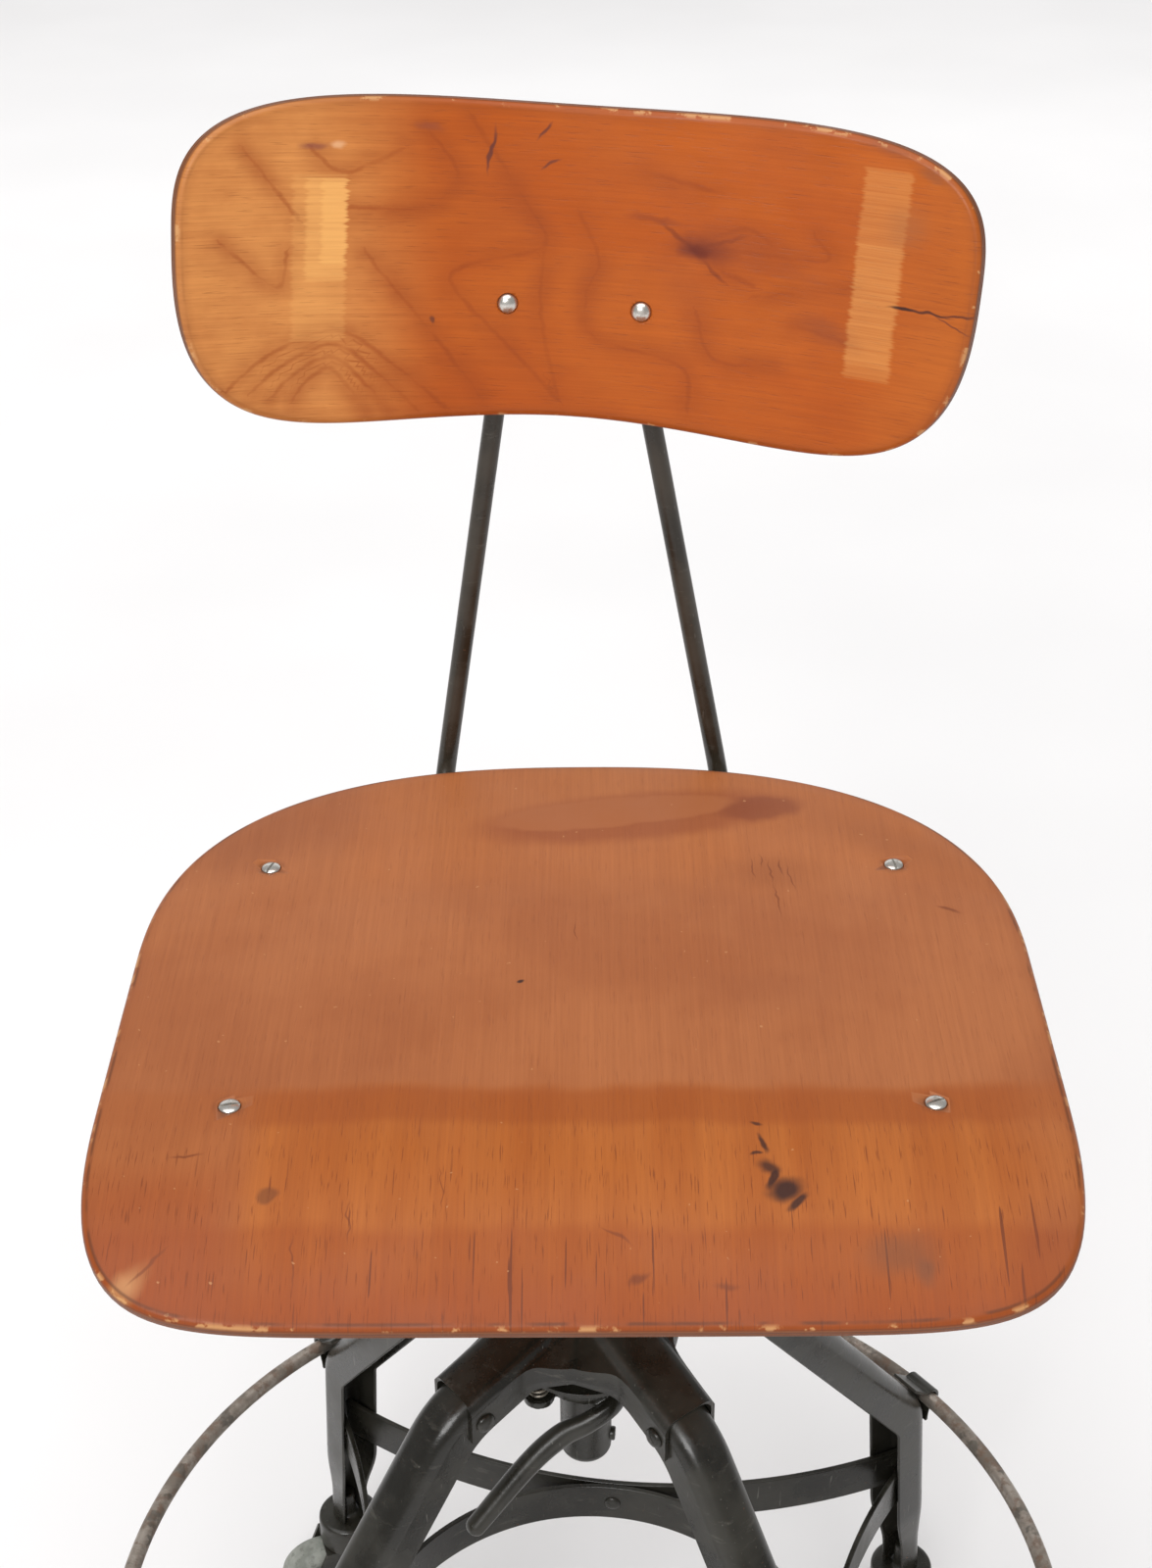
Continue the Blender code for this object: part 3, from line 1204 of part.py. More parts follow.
def build():
    clear_scene()
    base = make_empty("base_frame", Matrix.Rotation(BASE_TURN, 4, "Z"))
    build_seat()
    build_seat_screws()
    build_seat_bars()
    build_saddle()
    build_swivel()
    build_backrest()
    build_back_screws()
    build_back_rods()
    build_rod_guides()
    build_wing_screws()
    build_column(base)
    build_hub(base)
    build_leg_rivets(base)
    build_column_guide(base)
    build_lever_pin(base)
    build_lock_lever(base)
    build_lever_spring(base)
    build_legs(base)
    build_foot_ring(base)
    build_ring_clips(base)
    build_straps(base)
    build_hoop(base)
    build_casters(base)


build()
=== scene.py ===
"""Looks for the drafting chair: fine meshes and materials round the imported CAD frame.

Metres, +Z up, in the frame's own axes. The Z axis is the column's axis and the floor is
z = 0. The seat's front faces -Y. Sizes that the frame gives are read from it.
"""
import json
import math

import bmesh
import bpy
import numpy as np
from mathutils import Matrix, Vector

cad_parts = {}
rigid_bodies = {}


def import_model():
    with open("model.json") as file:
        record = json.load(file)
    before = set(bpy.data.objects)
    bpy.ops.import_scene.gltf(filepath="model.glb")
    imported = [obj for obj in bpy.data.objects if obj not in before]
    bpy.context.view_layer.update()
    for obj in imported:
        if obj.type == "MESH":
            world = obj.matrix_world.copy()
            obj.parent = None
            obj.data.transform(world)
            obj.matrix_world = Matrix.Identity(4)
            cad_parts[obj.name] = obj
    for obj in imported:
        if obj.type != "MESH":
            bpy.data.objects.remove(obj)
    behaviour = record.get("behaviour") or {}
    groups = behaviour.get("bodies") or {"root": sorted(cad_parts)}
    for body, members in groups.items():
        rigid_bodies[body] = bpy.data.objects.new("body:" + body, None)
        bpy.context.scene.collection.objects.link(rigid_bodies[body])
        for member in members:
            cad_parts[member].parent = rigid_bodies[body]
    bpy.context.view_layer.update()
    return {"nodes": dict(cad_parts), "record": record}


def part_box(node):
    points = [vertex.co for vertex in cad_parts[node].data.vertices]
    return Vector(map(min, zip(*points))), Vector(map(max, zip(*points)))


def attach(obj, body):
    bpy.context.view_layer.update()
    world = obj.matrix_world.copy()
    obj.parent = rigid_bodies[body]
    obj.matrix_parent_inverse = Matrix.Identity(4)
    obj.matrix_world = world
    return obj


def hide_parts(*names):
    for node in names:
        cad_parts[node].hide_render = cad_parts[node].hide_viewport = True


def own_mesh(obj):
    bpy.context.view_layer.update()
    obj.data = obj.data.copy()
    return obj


for leftover in list(bpy.data.objects):
    bpy.data.objects.remove(leftover, do_unlink=True)

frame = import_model()
BODY_OF = {node: body for body, nodes in frame["record"]["behaviour"]["bodies"].items() for node in nodes}

# ---- sizes ---------------------------------------------------------------------------
BASE_TURN = math.radians(-6.9)
GAP = 0.0003
LEG_ANGLES = (45, 135, 225, 315)
BASE = Matrix.Rotation(BASE_TURN, 4, "Z")

SEAT_LOW, SEAT_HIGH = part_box("seat")
SEAT_HEIGHT = SEAT_HIGH.z
SEAT_HALF_WIDTH = SEAT_HIGH.x
SEAT_WIDEST_Y = 0.020
SEAT_REAR_POWER = 2.48
SEAT_FRONT_POWER = 8.0
SEAT_PLY = 0.010
SEAT_EDGE = 0.0035
SEAT_FRONT_DROP = 0.0229
SEAT_FRONT_Y = SEAT_WIDEST_Y - 0.202
OUTLINE_STEPS = 3600
SCREW_PLACES = ((-0.1449, 0.0921), (0.1449, 0.0921), (-0.1427, -0.0790), (0.1427, -0.0790))
SCREW_TURNS = (70, 100, 14, 24)      # slot directions, in degrees
SCREW_HEAD = 0.0044
SCREW_DOME = 0.0012
SCREW_SINK = 0.0020
SCREW_SHANK = 0.0022
SLOT_HALF = 0.00055
SEAT_ROLL_START = SCREW_PLACES[2][1] - 0.0125

BACK_HALF_WIDTH = 0.1798
BACK_TOP = 0.0616
BACK_BOTTOM = 0.0783
BACK_TOP_POWER = 3.13
BACK_BOTTOM_POWER = 2.67
BACK_TOP_RISE = 0.0129
BACK_BOTTOM_DROP = 0.0421
BACK_CURVE = 0.360
BACK_PLY = 0.009
BACK_EDGE = 0.003
BACK_LEAN = math.radians(6.6)
BACK_ROLL = math.radians(4.1)
BACK_CENTRE = (0.0, 0.2032, SEAT_HEIGHT + 0.2582)
BACK_SCREW_X = 0.0302
BACK_SCREW_DROP = 0.0266
BACK_DOME = 0.0026
BACK_SCREW_SINK = 0.0008
NUT_RADIUS = 0.0048
NUT_THICK = 0.0016

EDGE_STEPS = 6
GLUE_LINES = (0.4, 0.6)      # shares of the thickness
GROOVE_HALF = 0.0003
GROOVE_FLOOR = 0.0001
GROOVE_DEPTH = 0.00016
STROKE_REACH = 0.0042        # of a grain line, then how it fades
STROKE_FADE = 0.0014
STROKE_SHADE = 0.006

ROD_RADIUS = 0.00475
ROD_HALF_SPACING = 0.0704
ROD_BEND = 0.022
ROD_CLEAR = 0.0095
PADDLE_HALF_WIDTH = 0.0075
PADDLE_HALF_THICK = 0.0023
PADDLE_REACH = 0.024
PADDLE_TIP = 0.010
PADDLE_STEPS = 16

COLUMN_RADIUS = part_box("column")[1].y
COLUMN_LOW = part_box("column")[0].z
COLUMN_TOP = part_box("column")[1].z
COLUMN_WALL = 0.003
COLUMN_ROUND = 0.006
STOP_HEIGHT = 0.012
STOP_RADIUS = 0.0035
STOP_OUT = 0.002
STOP_ROUND = 0.001
SLIP = 0.0004
HUB_SLEEVE_END = 0.0775
HUB_SHEET = 0.002
HUB_WEB_RADIUS = 0.046
HUB_ARM_SKIRT = 0.019
HUB_WEB_SKIRT = 0.010
HUB_SHOULDER = 0.005
HUB_ROWS = 14
HUB_LIP = 0.0008
SKIRT_STEPS = (0.15, 0.35, 0.5, 0.62, 0.74, 0.86, 1.0)
LIP_LEVEL = 0.66             # share of the skirt, and the lip's width there
LIP_WIDTH = 0.12
GUIDE_TUBE_WALL = 0.0033
GUIDE_COLLAR = 0.004
GUIDE_PLATE_RADIUS = 0.035
GUIDE_PLATE_THICK = 0.0025
GUIDE_TAIL = 0.003
EAR_SHEET = 0.0025
EAR_ROOT = 0.001
GUIDE_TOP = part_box("column_guide")[1].z

LEG_START = 0.026
LEG_SLOPE = math.radians(20)
LEG_BEND = (0.088, 0.4275)
LEG_KNEE = (0.240, 0.222)
LEG_FOOT = (0.253, 0.076)
LEG_BEND_RADIUS = 0.055
LEG_KNEE_RADIUS = 0.035
LEG_HALF_WIDTH = 0.0125
LEG_DEPTH = 0.024
LEG_CORNER = 0.009
LEG_SHEET = 0.002
LIP_SHARE = 0.35             # of the sheet, rounded off at its edges
FOOT_HALF_WIDTH = 0.0088
FOOT_DEPTH = 0.0176
TAPER_TOP = 0.140
TAPER_END = 0.095
TAPER_STEPS = 10
RIVET_RADIUS = 0.003
RIVET_HEAD = 0.005
RIVET_DOME = 0.0026
RIVET_REACH = 0.070
RIVET_DEPTH = 0.0135
HUB_HALF_WIDTH = LEG_HALF_WIDTH + GAP + HUB_SHEET
SLEEVE_CORNER = math.atan(HUB_HALF_WIDTH / HUB_SLEEVE_END)

PLATE_TOP = LEG_BEND[1] - 0.0105
PLATE_LOW = PLATE_TOP - GUIDE_PLATE_THICK
LEVER_LEVEL = PLATE_LOW - 0.016
LEVER_PIVOT_X = 0.030
LEVER_BARREL = 0.0045
LEVER_BARREL_HALF = 0.007
PIN_RADIUS = 0.002
PAWL_RADIUS = 0.022
PAWL_THICK = 0.004
PAWL_SLACK = 0.0016
SPRING_PLACE = (-0.020, -0.020)
SPRING_PAD = 0.0075
SPRING_RADIUS = 0.0042
SPRING_WIRE = 0.0008
SPRING_TURNS = 5
SPRING_FLAT = 0.10           # share of the wire that lies flat at each end
SPRING_EASE = 0.35
LEVER_STEPS = ((-0.003, 0.0, 0.0), (-0.0095, -0.008, -0.001), (-0.015, -0.019, -0.004),
               (-0.026, -0.0255, -0.010), (-0.038, -0.029, -0.016), (-0.053, -0.038, -0.028),
               (-0.0766, -0.056, -0.054))
LEVER_HALF_WIDTHS = (0.0035, 0.0037, 0.0044, 0.0047, 0.0055, 0.0056, 0.0052)
LEVER_HALF_HEIGHTS = (0.0035, 0.0045, 0.0050, 0.0058, 0.0062, 0.0056, 0.0048)
LEVER_SIDE = Vector((0.55, -0.83, 0.0))
LEVER_TIP = 0.85
TONGUE_SHARE = 0.8

RING_ROD = 0.0043
RING_RADIUS = LEG_KNEE[0] + GAP + RING_ROD
RING_STEPS = 240
CLIP_HALF_WIDTH = 0.009
CLIP_SHEET = 0.0018
CLIP_TAIL = 0.012
CLIP_FOLLOW = 0.6            # how far the band turns with the leg
CLIP_STEPS = 28
STRAP_HEIGHT = 0.0254
STRAP_THICK = 0.003
STRAP_LEVEL = 0.163
STRAP_END_SIDE = 0.0074
STRAP_END_BACK = 0.0045
STRAP_STEPS = 64
BRACE_RIVET = 0.0048
BRACE_RIVET_DOME = 0.0022
HEAD_SINK = 0.0004
HOOP_RADIUS = 0.1225

WHEEL_RADIUS = 0.025
WHEEL_HALF_WIDTH = 0.010
WHEEL_SIDE = ((0.0045, 0.0), (0.0085, 0.0), (0.0095, 0.0012), (0.0165, 0.0012), (0.0175, 0.0),
              (0.0205, 0.0), (0.0235, 0.0018), (WHEEL_RADIUS - 0.0002, 0.005))     # radius, sink
AXLE_NECK = 0.003
AXLE_COLLAR = 0.0040
AXLE_HEAD = 0.0018
CAP_RADIUS = 0.0185
CAP_HEIGHT = 0.020
CAP_WALL = 0.003
CAP_HOLLOW = 0.006
CAP_PIN = 0.005
CAP_ROUND = 0.0034
CASTER_TRAIL = 0.020
CASTER_REACH = LEG_FOOT[0] - LEG_SHEET - 0.0075
CASTER_DIRECTIONS = (192, 205, 168, 178)
FORK_SHEET = 0.002
FORK_CLEAR = 0.0015
FORK_EYE = 0.0075
FORK_FRONT = 0.012
FORK_FRONT_DEPTH = 0.007


# ---- mesh helpers --------------------------------------------------------------------
def to_mesh(bm, name, sharp=32):
    bmesh.ops.recalc_face_normals(bm, faces=bm.faces)
    mesh = bpy.data.meshes.new(name)
    bm.to_mesh(mesh)
    bm.free()
    mesh.shade_smooth()
    mesh.set_sharp_from_angle(angle=math.radians(sharp))
    return mesh


def resharpened(mesh, sharp=32):
    mesh.set_sharp_from_angle(angle=math.radians(sharp))
    return mesh


def skinned(name, loops, sharp=32, closed_path=False):
    """Skin a list of equal point loops, with a flat cap at each end of an open path."""
    bm = bmesh.new()
    rings = [[bm.verts.new(point) for point in loop] for loop in loops]
    count = len(rings[0])
    pairs = list(zip(rings, rings[1:]))
    if closed_path:
        pairs.append((rings[-1], rings[0]))
    for first, second in pairs:
        for i in range(count):
            j = (i + 1) % count
            bm.faces.new((first[i], first[j], second[j], second[i]))
    if not closed_path:
        bm.faces.new(rings[0])
        bm.faces.new(rings[-1])
    return to_mesh(bm, name, sharp)


def cheeks(name, outline, inner, thickness):
    """The outline, in x and z, as a flat plate on each side of y = 0."""
    plates = []
    for side in (-1, 1):
        faces = sorted((side * inner, side * (inner + thickness)))
        loops = [[Vector((x, y, z)) for x, z in outline] for y in faces]
        plates.append((skinned(name, loops), Matrix.Identity(4)))
    return plates


def lathe(name, profile, steps=72, sharp=32):
    """Turn (radius, z) points round Z. A closed outline off the axis makes a ring."""
    bm = bmesh.new()
    on_axis = [abs(radius) < 1e-9 for radius, _ in profile]
    rings = []
    for (radius, z), centred in zip(profile, on_axis):
        turns = [0.0] if centred else [2 * math.pi * k / steps for k in range(steps)]
        rings.append([bm.verts.new((radius * math.cos(t), radius * math.sin(t), z)) for t in turns])
    pairs = list(zip(rings, rings[1:]))
    if not any(on_axis):
        pairs.append((rings[-1], rings[0]))
    for first, second in pairs:
        for i in range(steps):
            j = (i + 1) % steps
            corners = [first[i % len(first)], first[j % len(first)],
                       second[j % len(second)], second[i % len(second)]]
            bm.faces.new(list(dict.fromkeys(corners)))
    return to_mesh(bm, name, sharp)


def box_mesh(name, low, high):
    bm = bmesh.new()
    bmesh.ops.create_cube(bm, size=1.0)
    for vert in bm.verts:
        vert.co = Vector([a + (c + 0.5) * (b - a) for c, a, b in zip(vert.co, low, high)])
    return to_mesh(bm, name)


def cylinder(name, radius, low, high, steps=48):
    return lathe(name, ((0.0, low), (radius, low), (radius, high), (0.0, high)), steps)


def arc(centre, radius, start, stop, steps):
    angles = [start + (stop - start) * k / steps for k in range(steps + 1)]
    return [(centre[0] + radius * math.cos(a), centre[1] + radius * math.sin(a)) for a in angles]


def dome(radius, height, base=0.0, steps=8):
    """Profile of a rounded head, from its rim up to the axis."""
    quarter = arc((0, 0), 1.0, 0.0, math.pi / 2, steps)[:-1]
    return [(radius * a, base + height * b) for a, b in quarter] + [(0.0, base + height)]


def mirrored(half):
    """A profile with the same shape below z = 0."""
    return [(r, -z) for r, z in reversed(half)] + half


def soft_profile(points, radius, steps=4):
    """A turned profile with each inner corner rounded by the radius, or by what fits."""
    soft = [tuple(points[0])]
    for before, corner, after in zip(points, points[1:], points[2:]):
        corner = Vector(corner)
        into = corner - Vector(before)
        out = Vector(after) - corner
        turn = into.angle(out, 0.0)
        room = min(into.length, out.length) * 0.45
        if turn < 0.15 or room < 1e-6:
            soft.append(tuple(corner))
            continue
        reach = min(room, radius * math.tan(turn / 2))
        start = corner - into.normalized() * reach
        end = corner + out.normalized() * reach
        for k in range(steps + 1):
            t = k / steps
            soft.append(tuple(start * (1 - t) ** 2 + corner * 2 * t * (1 - t) + end * t * t))
    soft.append(tuple(points[-1]))
    return soft


def round_corners(points, radii, steps):
    """Points of a polyline with each inner corner turned into an arc of its radius."""
    path = [Vector(points[0])]
    for before, corner, after, radius in zip(points, points[1:], points[2:], radii):
        corner = Vector(corner)
        into = (corner - Vector(before)).normalized()
        out = (Vector(after) - corner).normalized()
        turn = into.angle(out)
        centre = corner + (out - into).normalized() * radius / math.cos(turn / 2)
        start = corner - into * radius * math.tan(turn / 2)
        for k in range(steps + 1):
            angle = turn * k / steps
            path.append(centre + (start - centre) * math.cos(angle) + into * radius * math.sin(angle))
    path.append(Vector(points[-1]))
    return path


def smooth_line(points, steps):
    """A curve through all the points, rounded between them."""
    pts = [Vector(p) for p in points]
    ends = [2 * pts[0] - pts[1]] + pts + [2 * pts[-1] - pts[-2]]
    path = []
    for a, b, c, d in zip(ends, ends[1:], ends[2:], ends[3:]):
        for k in range(steps):
            t = k / steps
            path.append(0.5 * (2 * b + (c - a) * t + (2 * a - 5 * b + 4 * c - d) * t ** 2
                               + (3 * b - a - 3 * c + d) * t ** 3))
    path.append(pts[-1])
    return path


def frames_along(path, side):
    """Place, side axis and upper axis at each point of a path."""
    frames = []
    for i, place in enumerate(path):
        tangent = (path[min(i + 1, len(path) - 1)] - path[max(i - 1, 0)]).normalized()
        across = (side - tangent * side.dot(tangent)).normalized()
        frames.append((place, across, tangent.cross(across)))
    return frames


def ellipse_loop(frame_here, half_width, half_height, count):
    place, across, upper = frame_here
    angles = [2 * math.pi * k / count for k in range(count)]
    return [place + across * half_width * math.cos(a) + upper * half_height * math.sin(a) for a in angles]


def smoothstep(t):
    t = min(1.0, max(0.0, t))
    return t * t * (3 - 2 * t)


def turn_z(degrees):
    return Matrix.Rotation(math.radians(degrees), 4, "Z")


def move(x, y, z):
    return Matrix.Translation((x, y, z))


def along_axis(axis):
    """Rotation that lays a shape turned about Z along another axis."""
    return Vector((0, 0, 1)).rotation_difference(Vector(axis)).to_matrix().to_4x4()


LAY_Y = Matrix.Rotation(math.pi / 2, 4, "X")
PIN_PLACE = move(LEVER_PIVOT_X, 0.0, LEVER_LEVEL) @ LAY_Y


def evaluated(obj, name):
    """The object's mesh with its modifiers applied, and the object removed."""
    graph = bpy.context.evaluated_depsgraph_get()
    mesh = bpy.data.meshes.new_from_object(obj.evaluated_get(graph), preserve_all_data_layers=True,
                                           depsgraph=graph)
    mesh.name = name
    bpy.data.objects.remove(obj, do_unlink=True)
    return mesh


def temporary(mesh):
    obj = bpy.data.objects.new(mesh.name, mesh)
    bpy.context.scene.collection.objects.link(obj)
    return obj


def combined(mesh, tools, operation):
    """The mesh cut by, or joined with, each (tool mesh, place) in turn."""
    target = temporary(mesh)
    helpers = []
    for tool, place in tools:
        helper = temporary(tool)
        helper.matrix_world = place
        helpers.append(helper)
        modifier = target.modifiers.new("boolean", "BOOLEAN")
        modifier.operation = operation
        modifier.object = helper
    result = evaluated(target, mesh.name)
    for helper in helpers:
        bpy.data.objects.remove(helper, do_unlink=True)
    return result


def blended(mesh, voxel, rounds):
    """The mesh made again as one skin with its joints smoothed, as in a casting."""
    obj = temporary(mesh)
    remesh = obj.modifiers.new("skin", "REMESH")
    remesh.mode = "VOXEL"
    remesh.voxel_size = voxel
    remesh.use_smooth_shade = True
    smooth = obj.modifiers.new("smooth", "SMOOTH")
    smooth.factor = 0.5
    smooth.iterations = rounds
    return evaluated(obj, mesh.name)


def trim(name, mesh, node, material, place=None, soften=0.0):
    """A finished mesh that rides on a CAD node's body and stands for no node."""
    if place is not None:
        mesh.transform(place)
    obj = bpy.data.objects.new(name, mesh)
    bpy.context.scene.collection.objects.link(obj)
    mesh.materials.clear()
    mesh.materials.append(material)
    if soften:
        bevel = obj.modifiers.new("edges", "BEVEL")
        bevel.width = soften
        bevel.segments = 2
        bevel.limit_method = "ANGLE"
        bevel.angle_limit = math.radians(40)
    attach(obj, BODY_OF[node])
    return obj


def piece(name, mesh, node, material, place=None, soften=0.0):
    """A finished mesh that stands for a CAD node."""
    obj = trim(name, mesh, node, material, place, soften)
    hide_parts(node)
    return obj


def refined(node, material, soften=0.0003):
    """A CAD node's own shape with its facets merged, shaded smooth and its edges eased."""
    bm = bmesh.new()
    bm.from_mesh(frame["nodes"][node].data)
    bmesh.ops.remove_doubles(bm, verts=bm.verts, dist=1e-6)
    bmesh.ops.dissolve_limit(bm, angle_limit=math.radians(0.4), verts=bm.verts, edges=bm.edges)
    return piece(node + "_shape", to_mesh(bm, node + "_shape"), node, material, None, soften)


# ---- materials -----------------------------------------------------------------------
class Shader:
    """A Principled material whose nodes are added by short calls."""

    def __init__(self, name):
        self.material = bpy.data.materials.new(name)
        self.material.use_nodes = True
        self.tree = self.material.node_tree
        self.surface = self.tree.nodes["Principled BSDF"]

    def node(self, kind, inputs, **settings):
        made = self.tree.nodes.new(kind)
        for key, value in settings.items():
            setattr(made, key, value)
        for key, value in inputs.items():
            self.feed(made.inputs[key], value)
        return made

    def feed(self, socket, value):
        if isinstance(value, bpy.types.NodeSocket):
            self.tree.links.new(value, socket)
        elif socket.type == "RGBA":
            socket.default_value = (*value, 1.0)
        else:
            socket.default_value = value

    def set(self, colour, roughness, metallic=0.0, specular=0.5):
        self.feed(self.surface.inputs["Base Color"], colour)
        self.feed(self.surface.inputs["Roughness"], roughness)
        self.feed(self.surface.inputs["Metallic"], metallic)
        self.feed(self.surface.inputs["Specular IOR Level"], specular)

    def place(self):
        return self.node("ShaderNodeTexCoord", {}).outputs["Object"]

    def attribute(self, name, output="Vector"):
        return self.node("ShaderNodeAttribute", {}, attribute_name=name).outputs[output]

    def noise(self, vector, scale, detail=3.0, roughness=0.5, output="Fac"):
        inputs = {"Vector": vector, "Scale": scale, "Detail": detail, "Roughness": roughness}
        return self.node("ShaderNodeTexNoise", inputs).outputs[output]

    def streaks(self, vector, scale, detail=3.0, roughness=0.5, output="Fac"):
        """Noise with a scale of its own along each axis."""
        stretched = self.node("ShaderNodeMapping", {"Vector": vector, "Scale": scale}).outputs["Vector"]
        return self.noise(stretched, 1.0, detail, roughness, output)

    def fade(self, value, low, high, start=0.0, stop=1.0):
        """Smoothly from start to stop as the value goes from low to high."""
        inputs = {"Value": value, "From Min": low, "From Max": high, "To Min": start, "To Max": stop}
        return self.node("ShaderNodeMapRange", inputs, interpolation_type="SMOOTHSTEP").outputs["Result"]

    def drop(self, value, low, high):
        """Smoothly from 1 to 0 as the value goes from low to high."""
        return self.fade(value, low, high, 1.0, 0.0)

    def calc(self, operation, first, second=0.0):
        made = self.node("ShaderNodeMath", {}, operation=operation)
        for socket, value in zip(made.inputs, (first, second)):
            self.feed(socket, value)
        return made.outputs["Value"]

    def vector_calc(self, operation, inputs, output="Vector"):
        return self.node("ShaderNodeVectorMath", inputs, operation=operation).outputs[output]

    def times(self, first, *factors):
        for factor in factors:
            first = self.calc("MULTIPLY", first, factor)
        return first

    def mix(self, share, first, second):
        made = self.node("ShaderNodeMix", {}, data_type="RGBA")
        self.feed(made.inputs[0], share)
        self.feed(made.inputs[6], first)
        self.feed(made.inputs[7], second)
        return made.outputs[2]

    def tint(self, colour, tone, *masks):
        """The colour turned towards the tone by the product of the masks."""
        return self.mix(self.times(*masks), colour, tone)

    def axes(self, vector):
        return self.node("ShaderNodeSeparateXYZ", {"Vector": vector}).outputs

    def warp(self, vector, scale, amount):
        """The vector shifted a little by noise, for ragged marks."""
        shift = self.noise(vector, scale, 2.0, output="Color")
        centred = self.vector_calc("SUBTRACT", {0: shift, 1: (0.5, 0.5, 0.5)})
        scaled = self.vector_calc("SCALE", {0: centred, "Scale": amount})
        return self.vector_calc("ADD", {0: vector, 1: scaled})

    def spot(self, vector, centre, size, turn=0.0, soft=0.5):
        """1 inside an ellipse on the panel's face and 0 outside, with a soft rim."""
        inputs = {"Vector": vector, "Location": (*centre, 0.0), "Rotation": (0.0, 0.0, math.radians(turn)),
                  "Scale": (*size, 1.0)}
        local = self.node("ShaderNodeMapping", inputs, vector_type="TEXTURE").outputs["Vector"]
        flat = self.vector_calc("MULTIPLY", {0: local, 1: (1.0, 1.0, 0.0)})
        reach = self.vector_calc("LENGTH", {0: flat}, "Value")
        return self.drop(reach, 1.0 - soft, 1.0 + soft)

    def bump(self, height, strength, distance):
        inputs = {"Height": height, "Strength": strength, "Distance": distance}
        self.feed(self.surface.inputs["Normal"], self.node("ShaderNodeBump", inputs).outputs["Normal"])


def wood_pores(shader, flat, along_x):
    """Short dark pores and fine fibres that run with the grain."""
    scales = ((70.0, 1500.0, 1.0), (14.0, 900.0, 1.0), (5.0, 380.0, 1.0))
    pore, fibre, broad = (size if along_x else (size[1], size[0], 1.0) for size in scales)
    pores = shader.fade(shader.streaks(flat, pore, 2.0), 0.60, 0.70)
    fibres = shader.mix(0.35, shader.streaks(flat, fibre, 3.0, 0.65), shader.streaks(flat, broad, 2.0))
    return pores, fibres


def front_face(shader, depth):
    """1 on the face that the marks lie on, and 0 from its edge to the other face."""
    return shader.drop(depth, 0.0010, 0.0026)


def add_marks(shader, colour, flat, face, marks):
    """Tint the face with a list of (centre, half sizes, turn, softness, strength, colour)."""
    for centre, size, turn, soft, strength, tone in marks:
        colour = shader.tint(colour, tone, shader.spot(flat, centre, size, turn, soft), face, strength)
    return colour


def rim_wear(shader, colour, flat, depth, rim, chip_scale, chip_share, line_share):
    """Dark varnish round the edge, plies on its side, and light chips on its corner."""
    colour = shader.tint(colour, EDGE_BROWN, shader.drop(rim, 0.0, 0.0075), 0.34)
    line = shader.times(shader.fade(rim, 0.0016, 0.0024), shader.drop(rim, 0.0026, 0.0036))
    broken = shader.fade(shader.noise(flat, 40.0), 0.40, 0.55)
    colour = shader.tint(colour, PLY_DARK, line, broken, line_share)
    wave = shader.calc("SINE", shader.times(depth, 2 * math.pi / PLY_PITCH))
    stripes = shader.mix(shader.fade(wave, -0.5, 0.6), PLY_DARK, PLY_LIGHT)
    side = shader.times(shader.fade(depth, 0.0012, 0.0024), shader.drop(depth, 0.0066, 0.0084))
    colour = shader.tint(colour, stripes, side, 0.9)
    chips = shader.fade(shader.noise(flat, chip_scale, 4.0, 0.65), chip_share, chip_share + 0.06)
    corner = shader.drop(rim, 0.0006, 0.0026)
    return shader.tint(colour, RAW_WOOD, chips, corner, front_face(shader, depth), 0.75)


def varnish(shader, colour, roughness, fibres, pores):
    """The worn varnish that both panels have, with the grain felt through it."""
    shader.set(colour, roughness, specular=0.27)
    shader.bump(shader.calc("SUBTRACT", shader.times(fibres, 0.35), pores), 0.25, 0.0002)
    return shader.material


PLY_PITCH = 0.0020
EDGE_BROWN = (0.20, 0.045, 0.010)
PLY_DARK = (0.085, 0.024, 0.008)
PLY_LIGHT = (0.19, 0.060, 0.018)
RAW_WOOD = (0.60, 0.32, 0.13)
INK = (0.030, 0.010, 0.008)
BROWN_MARK = (0.15, 0.032, 0.008)
GREY_MARK = (0.14, 0.050, 0.022)
KNOT_RAY = (0.15, 0.024, 0.008)
KNOT_GLOW = (0.30, 0.060, 0.012)
SPLIT_BROWN = (0.110, 0.022, 0.006)
SCREW_GRIME = (0.10, 0.028, 0.012)
FLECK = (0.50, 0.24, 0.10)

SEAT_WORN = ((0.332, 0.100, 0.030), (0.388, 0.128, 0.041))
SEAT_FRESH = ((0.350, 0.090, 0.0135), (0.410, 0.118, 0.020))
# This colour is painted shade: the crease where the seat bends down in front of the screws.
SEAT_CREASE_SHADE = (0.290, 0.064, 0.0085)
# This colour is painted shade on the down-turned front of the seat.
SEAT_ROLL_SHADE = (0.275, 0.050, 0.0030)
SEAT_CORNER = (0.275, 0.050, 0.0040)
SEAT_REAR = (0.440, 0.136, 0.033)

BACK_PLAIN = ((0.430, 0.080, 0.0045), (0.490, 0.108, 0.0085))
BACK_LEFT = (0.720, 0.310, 0.085)
BACK_RIGHT = (0.500, 0.140, 0.020)
BACK_MOTTLE = (0.33, 0.060, 0.0045)
BACK_LINE = (0.300, 0.052, 0.0045)
BACK_FIBRE = (0.22, 0.040, 0.004)
BACK_PATCH = (0.82, 0.42, 0.125)

